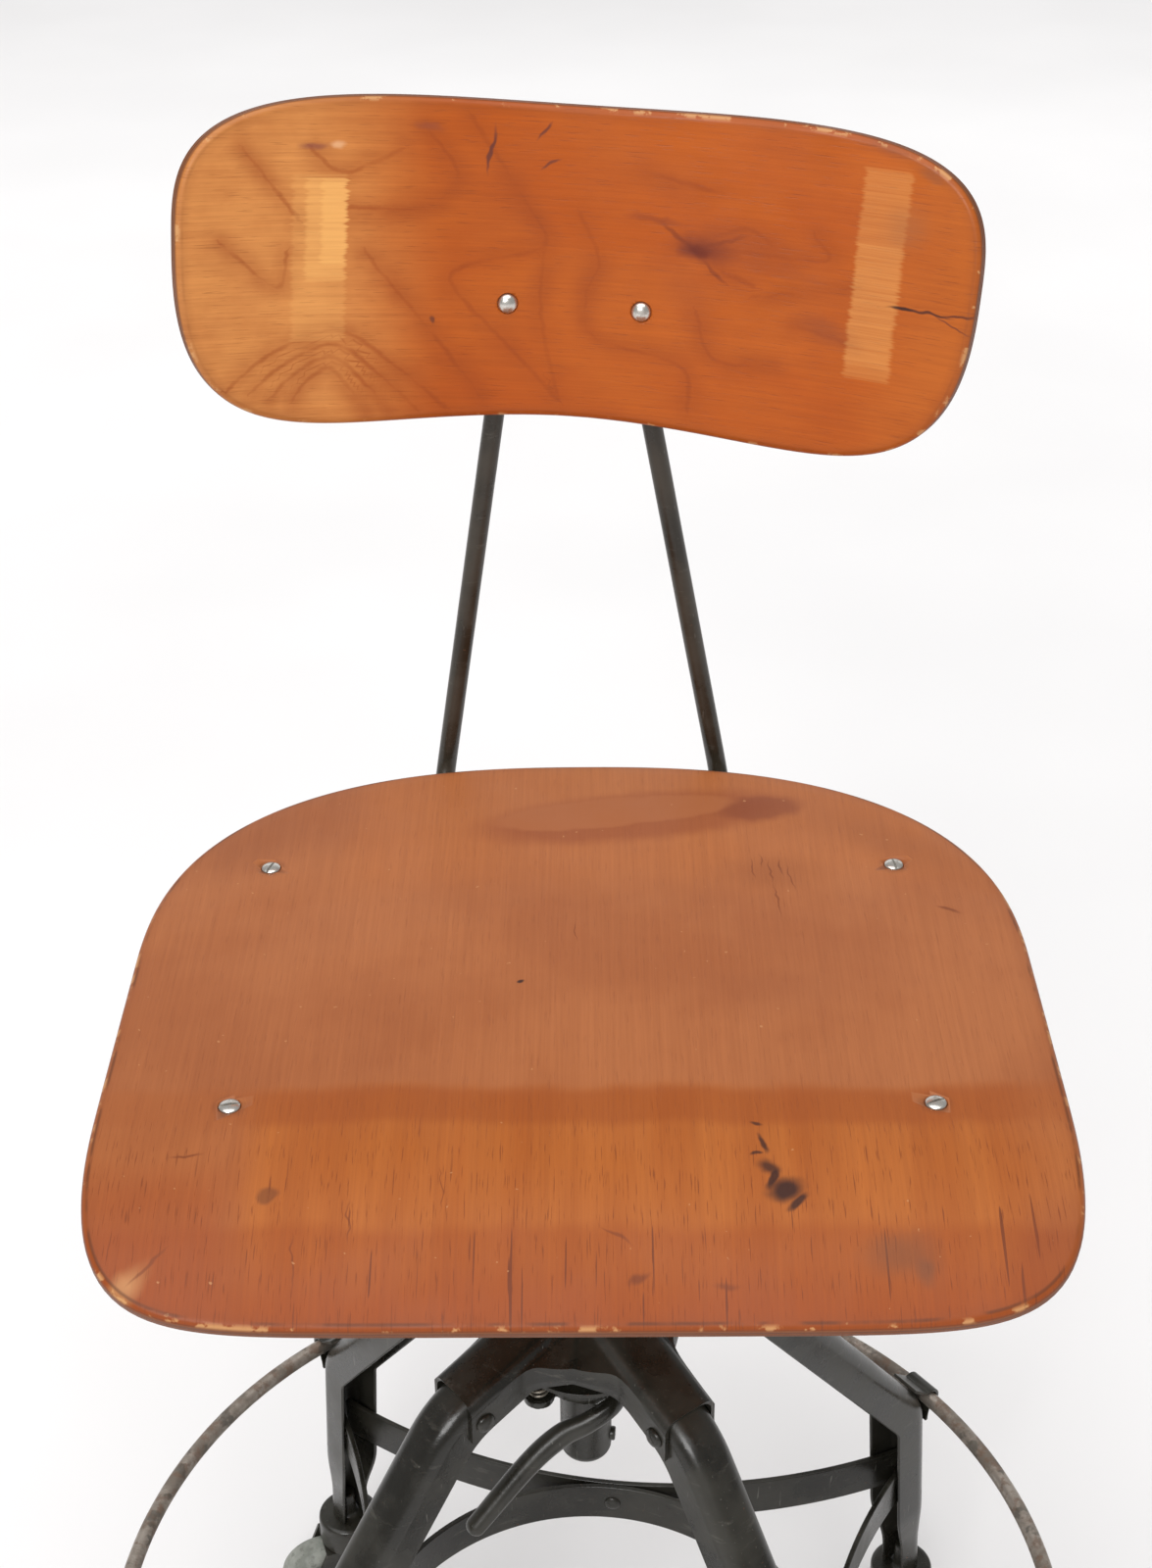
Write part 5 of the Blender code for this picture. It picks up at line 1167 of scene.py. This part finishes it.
# ---- back rods -----------------------------------------------------------------------
def rod_path(side, name):
    """Middle line of a rod with its half width and half thickness at each point."""
    def behind(drop, offset):
        return BACK_FRAME @ back_place_flat(side * BACK_SCREW_X, -BACK_SCREW_DROP - drop,
                                            BACK_PLY + GAP + offset)

    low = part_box(name)[0]
    level = low.z + ROD_RADIUS
    x = side * ROD_HALF_SPACING
    rear_share = abs(x / SEAT_HALF_WIDTH) ** SEAT_REAR_POWER
    rear_edge = SEAT_WIDEST_Y + (SEAT_HIGH.y - SEAT_WIDEST_Y) * (1 - rear_share) ** (1 / SEAT_REAR_POWER)
    corner = Vector((x, rear_edge + ROD_CLEAR + ROD_RADIUS, level))
    top = behind(PADDLE_REACH, ROD_RADIUS + GAP)
    path = round_corners([Vector((x, low.y, level)), corner, top], [ROD_BEND], 16)
    sizes = [(ROD_RADIUS, ROD_RADIUS)] * len(path)
    for k in range(1, PADDLE_STEPS + 1):
        along = k / PADDLE_STEPS
        flat = smoothstep(along * 1.5)
        thick = ROD_RADIUS + (PADDLE_HALF_THICK - ROD_RADIUS) * flat
        wide = ROD_RADIUS + (PADDLE_HALF_WIDTH - ROD_RADIUS) * smoothstep(along * 1.3)
        path.append(behind(PADDLE_REACH * (1 - along), thick + GAP * (1 - flat)))
        sizes.append((wide, thick))
    for k in range(1, 7):
        angle = math.pi / 2 * k / 6.4
        path.append(behind(-PADDLE_TIP * math.sin(angle), PADDLE_HALF_THICK))
        sizes.append((PADDLE_HALF_WIDTH * math.cos(angle), PADDLE_HALF_THICK * (0.6 + 0.4 * math.cos(angle))))
    return path, sizes


def make_back_rods(material):
    for side, name in ((-1, "back_rod_left"), (1, "back_rod_right")):
        path, sizes = rod_path(side, name)
        frames = frames_along(path, Vector((1.0, 0.0, 0.0)))
        loops = [ellipse_loop(here, a, b, 28) for here, (a, b) in zip(frames, sizes)]
        piece(name + "_bent", skinned(name, loops), name, material)


# ---- column, hub and guide -----------------------------------------------------------
def make_column(material):
    outer = COLUMN_RADIUS
    inner = outer - COLUMN_WALL
    floor = COLUMN_LOW + 2 * COLUMN_WALL
    corner = arc((outer - COLUMN_ROUND, COLUMN_LOW + COLUMN_ROUND), COLUMN_ROUND, -math.pi / 2, 0.0, 8)
    profile = [(0.0, COLUMN_LOW)] + corner
    profile += [(outer, COLUMN_TOP), (inner, COLUMN_TOP), (inner, floor), (0.0, floor)]
    start = inner + STOP_ROUND
    end = outer + STOP_OUT
    button = soft_profile([(0.0, start), (STOP_RADIUS, start), (STOP_RADIUS, end), (0.0, end)], STOP_ROUND)
    place = move(0.0, 0.0, COLUMN_LOW + STOP_HEIGHT) @ Matrix.Rotation(math.pi / 2, 4, "Y")
    mesh = combined(lathe("column_tube", profile, 96), [(lathe("stop", button, 32), place)], "UNION")
    piece("column_tube", resharpened(mesh), "column", material, BASE, 0.0003)


def ridge_height(reach):
    return LEG_BEND[1] + (LEG_BEND[0] - reach) * math.tan(LEG_SLOPE)


def hub_reach(angle):
    if abs(angle) <= SLEEVE_CORNER:
        return HUB_SLEEVE_END / math.cos(angle)
    side = HUB_HALF_WIDTH / math.sin(abs(angle))
    return (side ** 8 + HUB_WEB_RADIUS ** 8) ** (1 / 8)


def hub_top(reach, angle):
    """Height of the hub's outer face, rounded down towards the sleeves' sides."""
    along = reach * math.cos(angle)
    lift = (HUB_SHEET + 2 * GAP) / math.cos(LEG_SLOPE)
    aside = min(1.0, reach * math.sin(abs(angle)) / HUB_HALF_WIDTH)
    return ridge_height(along) + lift - HUB_SHOULDER * aside ** 6


def hub_angles():
    quarter = math.pi / 4
    half = [SLEEVE_CORNER * k / 8 for k in range(9)]
    half += [SLEEVE_CORNER + (quarter - SLEEVE_CORNER) * (k / 14) ** 1.4 for k in range(1, 15)]
    return [-a for a in reversed(half[1:])] + half[:-1]


def make_hub(material):
    """Pressed cover: a sleeve over each leg's top, joined by webs with a lipped skirt."""
    hole = COLUMN_RADIUS + SLIP + GUIDE_TUBE_WALL + 2 * GAP + HUB_SHEET * math.sin(LEG_SLOPE)
    bm = bmesh.new()
    columns = []
    in_sleeve = []
    for heading in LEG_ANGLES:
        for angle in hub_angles():
            turn = math.radians(heading) + angle
            edge = hub_reach(angle)
            radii = [hole + (edge - hole) * (k / HUB_ROWS) for k in range(HUB_ROWS + 1)]
            points = [(r, hub_top(r, angle)) for r in radii]
            blend = (1 - math.cos(4 * angle)) / 2
            skirt = HUB_ARM_SKIRT + (HUB_WEB_SKIRT - HUB_ARM_SKIRT) * blend
            rim = points[-1][1]
            for share in SKIRT_STEPS:
                lip = HUB_LIP * blend * math.exp(-((share - LIP_LEVEL) / LIP_WIDTH) ** 2)
                points.append((edge + lip, rim - skirt * share))
            columns.append([bm.verts.new((r * math.cos(turn), r * math.sin(turn), z)) for r, z in points])
            in_sleeve.append(abs(angle) <= SLEEVE_CORNER + 1e-9)
    for i, first in enumerate(columns):
        j = (i + 1) % len(columns)
        rows = HUB_ROWS if in_sleeve[i] and in_sleeve[j] else len(first) - 1
        for k in range(rows):
            bm.faces.new((first[k], first[k + 1], columns[j][k + 1], columns[j][k]))
    bmesh.ops.delete(bm, geom=[vert for vert in bm.verts if not vert.link_faces], context="VERTS")
    obj = temporary(to_mesh(bm, "hub"))
    shell = obj.modifiers.new("sheet", "SOLIDIFY")
    shell.thickness = HUB_SHEET
    shell.offset = -1.0
    shell.use_even_offset = True
    mesh = resharpened(evaluated(obj, "hub_pressing"), 40)
    piece("hub_pressing", mesh, "hub", material, BASE, 0.0007)


def make_leg_rivets(material):
    half = [(RIVET_RADIUS, HUB_HALF_WIDTH + GAP)] + dome(RIVET_HEAD, RIVET_DOME, HUB_HALF_WIDTH + GAP)
    place = move(RIVET_REACH, 0.0, ridge_height(RIVET_REACH) - RIVET_DEPTH) @ LAY_Y
    for number, heading in enumerate(LEG_ANGLES, 1):
        name = f"leg_rivet_{number}"
        rivet = lathe(name, mirrored(half), 40)
        piece(name + "_domed", rivet, name, material, BASE @ turn_z(heading) @ place)


def make_column_guide(material):
    """Tube and plate that guide the column, with two ears for the lever's pin."""
    bore = COLUMN_RADIUS + SLIP
    outer = bore + GUIDE_TUBE_WALL
    crown = max(hub_top(outer + GAP, angle) for angle in hub_angles()) + GAP
    profile = [(bore, GUIDE_TOP), (outer + GUIDE_COLLAR, GUIDE_TOP), (outer + GUIDE_COLLAR, crown),
               (outer, crown), (outer, PLATE_TOP), (GUIDE_PLATE_RADIUS, PLATE_TOP),
               (GUIDE_PLATE_RADIUS, PLATE_LOW), (outer, PLATE_LOW), (outer, PLATE_LOW - GUIDE_TAIL),
               (bore, PLATE_LOW - GUIDE_TAIL)]
    ear = arc((LEVER_PIVOT_X, LEVER_LEVEL), LEVER_BARREL, -math.pi, 0.0, 16)
    ear += [(LEVER_PIVOT_X + side * LEVER_BARREL, PLATE_LOW + EAR_ROOT) for side in (1, -1)]
    ears = cheeks("ear", ear, LEVER_BARREL_HALF + GAP, EAR_SHEET)
    mesh = combined(lathe("column_guide_turned", profile, 96), ears, "UNION")
    piece("column_guide_turned", resharpened(mesh), "column_guide", material, BASE, 0.0005)


# ---- lock lever ----------------------------------------------------------------------
def make_lever(material):
    """Forged arm and handle, with the collar round the column and the pivot barrel."""
    pivot = Vector((LEVER_PIVOT_X, 0.0, LEVER_LEVEL))
    path = smooth_line([pivot + Vector(step) for step in LEVER_STEPS], 8)
    sizes = smooth_line([(a, b, 0.0) for a, b in zip(LEVER_HALF_WIDTHS, LEVER_HALF_HEIGHTS)], 8)
    frames = frames_along(path, LEVER_SIDE)
    loops = [ellipse_loop(here, size.x, size.y, 28) for here, size in zip(frames, sizes)]
    tip_place, tip_across, tip_upper = frames[-1]
    onward = (path[-1] - path[-2]).normalized()
    for k in range(1, 7):
        angle = math.pi / 2 * k / 6.5
        centre = tip_place + onward * LEVER_HALF_WIDTHS[-1] * LEVER_TIP * math.sin(angle)
        loops.append(ellipse_loop((centre, tip_across, tip_upper), LEVER_HALF_WIDTHS[-1] * math.cos(angle),
                                  LEVER_HALF_HEIGHTS[-1] * math.cos(angle), 28))
    low = LEVER_LEVEL - PAWL_THICK / 2
    high = LEVER_LEVEL + PAWL_THICK / 2
    here = Matrix.Identity(4)
    tongue = LEVER_BARREL_HALF * TONGUE_SHARE
    parts = [(cylinder("collar", PAWL_RADIUS, low, high, 80), here),
             (cylinder("pad", SPRING_PAD, low, high), move(*SPRING_PLACE, 0.0)),
             (box_mesh("tongue", (COLUMN_RADIUS, -tongue, low), (LEVER_PIVOT_X, tongue, high)), here),
             (cylinder("barrel", LEVER_BARREL, -LEVER_BARREL_HALF, LEVER_BARREL_HALF), PIN_PLACE)]
    solid = blended(combined(skinned("lever_casting", loops), parts, "UNION"), 0.0007, 3)
    shaft = cylinder("shaft", COLUMN_RADIUS + PAWL_SLACK, low - 0.02, high + 0.02, 80)
    pin_hole = cylinder("pin_hole", PIN_RADIUS + SLIP, -0.02, 0.02, 32)
    mesh = combined(solid, [(shaft, here), (pin_hole, PIN_PLACE)], "DIFFERENCE")
    mesh.shade_smooth()
    piece("lever_casting", resharpened(mesh, 50), "lock_lever", material, BASE)


def make_lever_spring(material):
    """Coil spring between the guide plate and the lever, with its end turns laid flat."""
    low = LEVER_LEVEL + PAWL_THICK / 2 + GAP + SPRING_WIRE
    high = PLATE_LOW - GAP - SPRING_WIRE
    steps = 40 * SPRING_TURNS
    path = []
    for k in range(steps + 1):
        turn = 2 * math.pi * SPRING_TURNS * k / steps
        run = min(1.0, max(0.0, (k / steps - SPRING_FLAT) / (1 - 2 * SPRING_FLAT)))
        rise = smoothstep(run) * SPRING_EASE + run * (1 - SPRING_EASE)
        path.append(Vector((SPRING_PLACE[0] + SPRING_RADIUS * math.cos(turn),
                            SPRING_PLACE[1] + SPRING_RADIUS * math.sin(turn), low + (high - low) * rise)))
    frames = frames_along(path, Vector((0.0, 0.0, 1.0)))
    loops = [ellipse_loop(here, SPRING_WIRE, SPRING_WIRE, 12) for here in frames]
    mesh = skinned("lever_spring_coil", loops, 60)
    spring = piece("lever_spring_coil", mesh, "lever_spring", material, BASE)
    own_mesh(spring)


# ---- legs, ring, clips, straps and hoop ----------------------------------------------
def knee_to_foot(height):
    share = (LEG_KNEE[1] - height) / (LEG_KNEE[1] - LEG_FOOT[1])
    return Vector((LEG_KNEE[0] + (LEG_FOOT[0] - LEG_KNEE[0]) * share, 0.0, height))


def channel_section(half, depth, sheet, corner):
    """U section round (across, out) with its back at out = 0 and its mouth inwards."""
    lip = sheet * LIP_SHARE
    middle = (half - corner, -corner)
    outer = [(half - lip, -depth), (half, -depth + lip)] + arc(middle, corner, 0.0, math.pi / 2, 10)
    inner = [(half - sheet + lip, -depth), (half - sheet, -depth + lip)]
    inner += arc(middle, corner - sheet, 0.0, math.pi / 2, 8)
    outer += [(-a, b) for a, b in reversed(outer)]
    inner += [(-a, b) for a, b in reversed(inner)]
    return outer + list(reversed(inner))


def make_legs(material):
    start = (LEG_START, 0.0, ridge_height(LEG_START))
    corners = [start] + [(reach, 0.0, height) for reach, height in (LEG_BEND, LEG_KNEE, LEG_FOOT)]
    path = round_corners(corners, [LEG_BEND_RADIUS, LEG_KNEE_RADIUS], 14)
    taper = [knee_to_foot(TAPER_TOP + (TAPER_END - TAPER_TOP) * k / TAPER_STEPS)
             for k in range(TAPER_STEPS + 1)]
    path = path[:-1] + taper + path[-1:]
    loops = []
    for i, (place, across, _) in enumerate(frames_along(path, Vector((0.0, 1.0, 0.0)))):
        share = smoothstep((TAPER_TOP - place.z) / (TAPER_TOP - TAPER_END))
        half = LEG_HALF_WIDTH + (FOOT_HALF_WIDTH - LEG_HALF_WIDTH) * share
        depth = LEG_DEPTH + (FOOT_DEPTH - LEG_DEPTH) * share
        corner = LEG_CORNER + (FOOT_HALF_WIDTH * 0.9 - LEG_CORNER) * share
        along = (path[min(i + 1, len(path) - 1)] - path[max(i - 1, 0)]).normalized()
        outward = Vector((-along.z, 0.0, along.x))
        section = channel_section(half, depth, LEG_SHEET, corner)
        loops.append([place + across * a + outward * b for a, b in section])
    mesh = skinned("leg_channel", loops, 40)
    for number, heading in enumerate(LEG_ANGLES, 1):
        piece(f"leg_{number}_channel", mesh.copy(), f"leg_{number}", material, BASE @ turn_z(heading))


def make_ring(material):
    loops = []
    for k in range(RING_STEPS):
        turn = 2 * math.pi * k / RING_STEPS
        out = Vector((math.cos(turn), math.sin(turn), 0.0))
        here = (out * RING_RADIUS + Vector((0, 0, LEG_KNEE[1])), out, Vector((0, 0, 1)))
        loops.append(ellipse_loop(here, RING_ROD, RING_ROD, 20))
    piece("foot_ring_rod", skinned("foot_ring_rod", loops, 60, closed_path=True), "foot_ring", material, BASE)


def spoke_at(angle):
    return Vector((math.cos(angle), 0.0, math.sin(angle)))


def make_clips(material):
    """Bands over the ring, with a flat tail up and down the leg."""
    bore = RING_ROD + 2 * GAP
    outer = bore + CLIP_SHEET
    lean = math.atan2(LEG_KNEE[0] - LEG_BEND[0], LEG_BEND[1] - LEG_KNEE[1])
    flare = math.atan2(LEG_FOOT[0] - LEG_KNEE[0], LEG_KNEE[1] - LEG_FOOT[1])
    up = Vector((-math.sin(lean), 0.0, math.cos(lean)))
    down = Vector((math.sin(flare), 0.0, -math.cos(flare)))
    centre = Vector((RING_RADIUS, 0.0, LEG_KNEE[1]))
    knee = Vector((LEG_KNEE[0], 0.0, LEG_KNEE[1]))
    upper_foot = knee + spoke_at(lean) * 2 * GAP + up * (RING_ROD + CLIP_TAIL)
    lower_foot = knee + spoke_at(flare) * 2 * GAP + down * (RING_ROD + CLIP_TAIL)
    start = math.pi / 2 + lean * CLIP_FOLLOW
    stop = -math.pi / 2 - flare * CLIP_FOLLOW
    spokes = [spoke_at(start + (stop - start) * k / CLIP_STEPS) for k in range(CLIP_STEPS + 1)]
    inner_edge = [upper_foot] + [centre + spoke * bore for spoke in spokes] + [lower_foot]
    outer_edge = [upper_foot + spoke_at(lean) * CLIP_SHEET] + [centre + spoke * outer for spoke in spokes]
    outer_edge.append(lower_foot + spoke_at(flare) * CLIP_SHEET)
    outline = outer_edge + list(reversed(inner_edge))
    shift = Vector((0.0, CLIP_HALF_WIDTH, 0.0))
    mesh = skinned("ring_clip_band", [[p - shift for p in outline], [p + shift for p in outline]])
    for number, heading in enumerate(LEG_ANGLES, 1):
        node = f"ring_clip_{number}"
        piece(node + "_band", mesh.copy(), node, material, BASE @ turn_z(heading), 0.0004)


def brace_rivet(name, node, material, place):
    """Rivet head on the braces, which the CAD leaves to the looks."""
    head = [(0.0, -HEAD_SINK), (BRACE_RIVET, -HEAD_SINK)] + dome(BRACE_RIVET, BRACE_RIVET_DOME)
    trim(name, lathe("rivet", head, 32), node, material, place)


def make_straps(material):
    """Straps bowed inwards from leg to leg, riveted to the hoop in the middle."""
    middle = HOOP_RADIUS + GAP + STRAP_THICK
    back = knee_to_foot(STRAP_LEVEL).x - LEG_SHEET - STRAP_END_BACK
    heading = math.radians(LEG_ANGLES[0])
    aside = LEG_HALF_WIDTH - LEG_SHEET - STRAP_END_SIDE
    end_x = back * math.cos(heading) - aside * math.sin(heading)
    end_y = back * math.sin(heading) + aside * math.cos(heading)
    sag = end_y - middle
    radius = (end_x ** 2 + sag ** 2) / (2 * sag)
    reach = math.asin(end_x / radius)
    half = STRAP_HEIGHT / 2
    section = ((-STRAP_THICK / 2, -half), (-STRAP_THICK / 2, half), (STRAP_THICK / 2, half),
               (STRAP_THICK / 2, -half))
    loops = []
    for k in range(STRAP_STEPS + 1):
        angle = -reach + 2 * reach * k / STRAP_STEPS
        spoke = Vector((math.sin(angle), -math.cos(angle), 0.0))
        place = Vector((0.0, middle + radius, STRAP_LEVEL)) + spoke * radius
        loops.append([place + spoke * a + Vector((0, 0, b)) for a, b in section])
    mesh = skinned("brace_strap_bar", loops)
    outside = move(0.0, middle + STRAP_THICK / 2, STRAP_LEVEL) @ Matrix.Rotation(-math.pi / 2, 4, "X")
    inside = move(0.0, HOOP_RADIUS - STRAP_THICK / 2, STRAP_LEVEL) @ LAY_Y
    for number in (1, 2, 3, 4):
        quarter = BASE @ turn_z(90 * (number - 1))
        node = f"brace_strap_{number}"
        piece(node + "_bar", mesh.copy(), node, material, quarter, 0.0006)
        brace_rivet(node + "_rivet", node, material, quarter @ outside)
        brace_rivet(node + "_rivet_end", "brace_hoop", material, quarter @ inside)


def make_hoop(material):
    half = STRAP_HEIGHT / 2
    outer = HOOP_RADIUS + STRAP_THICK / 2
    inner = HOOP_RADIUS - STRAP_THICK / 2
    profile = [(inner, STRAP_LEVEL + half), (outer, STRAP_LEVEL + half), (outer, STRAP_LEVEL - half),
               (inner, STRAP_LEVEL - half)]
    piece("brace_hoop_bar", lathe("brace_hoop_bar", profile, 200), "brace_hoop", material, BASE, 0.0006)


# ---- casters -------------------------------------------------------------------------
def make_caster(number, paint, steel, rubber):
    swivel = BASE @ turn_z(LEG_ANGLES[number - 1]) @ move(CASTER_REACH, 0.0, 0.0)
    place = move(*swivel.translation) @ BASE @ turn_z(CASTER_DIRECTIONS[number - 1])
    cap = f"caster_cap_{number}"
    low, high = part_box(cap)
    top = low.z + CAP_HEIGHT
    rim = CAP_RADIUS - CAP_WALL
    profile = [(0.0, high.z), (CAP_PIN, high.z), (CAP_PIN, top), (CAP_RADIUS, top), (CAP_RADIUS, low.z),
               (rim, low.z), (rim, low.z + CAP_HOLLOW), (CAP_PIN, low.z + CAP_HOLLOW), (CAP_PIN, low.z),
               (0.0, low.z)]
    piece(cap + "_turned", lathe(cap, soft_profile(profile, CAP_ROUND, 6), 72), cap, paint, swivel)
    fork = f"caster_fork_{number}"
    make_fork(fork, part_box(fork)[1].z, paint, place)
    make_wheel(number, rubber, steel, place @ move(CASTER_TRAIL, 0.0, WHEEL_RADIUS) @ LAY_Y)


def make_fork(name, top, material, place):
    """A disc under the cap with a cheek down to the axle on each side of the wheel."""
    inner = WHEEL_HALF_WIDTH + FORK_CLEAR
    outer = inner + FORK_SHEET
    rear = CASTER_TRAIL * 0.9
    outline = [(-FORK_FRONT, top), (rear, top), (CASTER_TRAIL + FORK_EYE, WHEEL_RADIUS + FORK_EYE * 0.6)]
    outline += arc((CASTER_TRAIL, WHEEL_RADIUS), FORK_EYE, 0.3, -math.pi * 0.8, 20)
    outline += [(-FORK_FRONT, top - FORK_FRONT_DEPTH)]
    bridge = box_mesh("bridge", (-FORK_FRONT, -outer, top - FORK_SHEET), (rear, outer, top))
    parts = cheeks("cheek", outline, inner, FORK_SHEET) + [(bridge, Matrix.Identity(4))]
    disc = cylinder("disc", CAP_RADIUS - CAP_WALL, top - FORK_SHEET, top, 64)
    mesh = combined(disc, parts, "UNION")
    piece(name + "_pressing", resharpened(mesh), name, material, place, 0.0005)


def make_wheel(number, rubber, steel, place):
    """Solid tyre with a crowned tread, a raised rim line and a dished side."""
    half = WHEEL_HALF_WIDTH
    side = [(radius, half - sink) for radius, sink in WHEEL_SIDE] + [(WHEEL_RADIUS, 0.0)]
    profile = soft_profile(side + [(r, -z) for r, z in reversed(side[:-1])], 0.0012, 4)
    wheel = f"caster_wheel_{number}"
    piece(wheel + "_tyre", lathe(wheel, profile, 96), wheel, rubber, place)
    inside = half + FORK_CLEAR - GAP
    outer = half + FORK_CLEAR + FORK_SHEET + GAP
    end = [(AXLE_COLLAR, inside), (AXLE_NECK, inside), (AXLE_NECK, outer), (0.0065, outer),
           (0.0058, outer + 0.0014), (AXLE_NECK, outer + AXLE_HEAD), (0.0, outer + AXLE_HEAD)]
    axle = f"caster_axle_{number}"
    piece(axle + "_turned", lathe(axle, mirrored(end), 48), axle, steel, place)


# ---- putting it together -------------------------------------------------------------
def make_chair():
    paint = enamel("olive_enamel", (0.011, 0.010, 0.0072), (0.030, 0.028, 0.0215), 0.33)
    rod_paint = enamel("rod_enamel", (0.020, 0.016, 0.0105), (0.045, 0.037, 0.027), 0.32)
    steel = bare_steel("dull_plate", (0.60, 0.58, 0.54), 0.26)
    spring_steel = bare_steel("spring_wire", (0.28, 0.25, 0.21), 0.34)
    rubber = wheel_rubber()
    make_seat(seat_wood())
    make_seat_screws(steel)
    make_back(back_wood())
    make_back_screws(steel)
    make_back_rods(rod_paint)
    for node in ("seat_bar_front", "seat_bar_rear", "saddle", "swivel_socket", "rod_guide_left",
                 "rod_guide_right"):
        refined(node, paint)
    for node in ("thrust_washer", "wing_screw_left", "wing_screw_right", "lever_pin"):
        refined(node, steel)
    make_column(paint)
    make_hub(paint)
    make_leg_rivets(paint)
    make_column_guide(paint)
    make_lever(paint)
    make_lever_spring(spring_steel)
    make_legs(paint)
    make_ring(worn_ring_steel())
    make_clips(paint)
    make_straps(paint)
    make_hoop(paint)
    for number in (1, 2, 3, 4):
        make_caster(number, paint, steel, rubber)


# ---- floor, light and camera ---------------------------------------------------------
def make_floor():
    shader = Shader("pale_floor")
    place = shader.place()
    cloud = shader.noise(place, 1.3, 3.0)
    colour = shader.mix(shader.fade(cloud, 0.3, 0.7), (0.80, 0.79, 0.79), (0.84, 0.83, 0.83))
    shader.set(colour, 0.75)
    bm = bmesh.new()
    bmesh.ops.create_circle(bm, cap_ends=True, segments=96, radius=14.0)
    floor = bpy.data.objects.new("studio_floor", to_mesh(bm, "studio_floor"))
    bpy.context.scene.collection.objects.link(floor)
    floor.data.materials.append(shader.material)


def make_lamp(name, place, target, size, power):
    lamp = bpy.data.lights.new(name, "AREA")
    lamp.shape = "RECTANGLE"
    lamp.size, lamp.size_y = size
    lamp.energy = power
    obj = bpy.data.objects.new(name, lamp)
    bpy.context.scene.collection.objects.link(obj)
    obj.location = place
    obj.rotation_euler = (Vector(target) - Vector(place)).to_track_quat("-Z", "Y").to_euler()


def make_light():
    """Even studio light: a broad bright ceiling, a softbox in front and a wall behind."""
    world = bpy.data.worlds.new("studio")
    world.use_nodes = True
    world.node_tree.nodes["Background"].inputs["Color"].default_value = (1.0, 1.0, 1.0, 1.0)
    world.node_tree.nodes["Background"].inputs["Strength"].default_value = 0.40
    bpy.context.scene.world = world
    sun = bpy.data.lights.new("ceiling", "SUN")
    sun.energy = 2.1
    sun.angle = math.radians(65)
    ceiling = bpy.data.objects.new("ceiling", sun)
    bpy.context.scene.collection.objects.link(ceiling)
    ceiling.rotation_euler = (math.radians(14), math.radians(-6), 0.0)
    make_lamp("front_softbox", (-0.9, -3.0, 2.6), (0.0, 0.2, 0.6), (1.6, 1.1), 62.0)
    make_lamp("rear_wall", (0.0, 3.6, 1.9), (0.0, 0.0, 0.6), (4.6, 1.6), 16.0)
    bpy.context.scene.view_settings.view_transform = "Standard"


def make_camera():
    """Standing in front of the chair and looking down at it."""
    pitch = math.radians(32.23)
    pan = math.radians(-0.38)
    roll = math.radians(-0.54)
    ahead = Vector((math.sin(pan) * math.cos(pitch), math.cos(pan) * math.cos(pitch), -math.sin(pitch)))
    right = Vector((math.cos(pan), -math.sin(pan), 0.0))
    up = right.cross(ahead)
    turned_right = right * math.cos(roll) + up * math.sin(roll)
    turned_up = up * math.cos(roll) - right * math.sin(roll)
    camera = bpy.data.cameras.new("camera")
    camera.lens = 54.0
    camera.sensor_width = 36.0
    obj = bpy.data.objects.new("camera", camera)
    bpy.context.scene.collection.objects.link(obj)
    axes = Matrix((turned_right, turned_up, -ahead)).transposed()
    obj.matrix_world = Matrix.Translation((0.0035, -0.8139, SEAT_HEIGHT + 0.6164)) @ axes.to_4x4()
    bpy.context.scene.camera = obj


make_chair()
make_floor()
make_light()
make_camera()
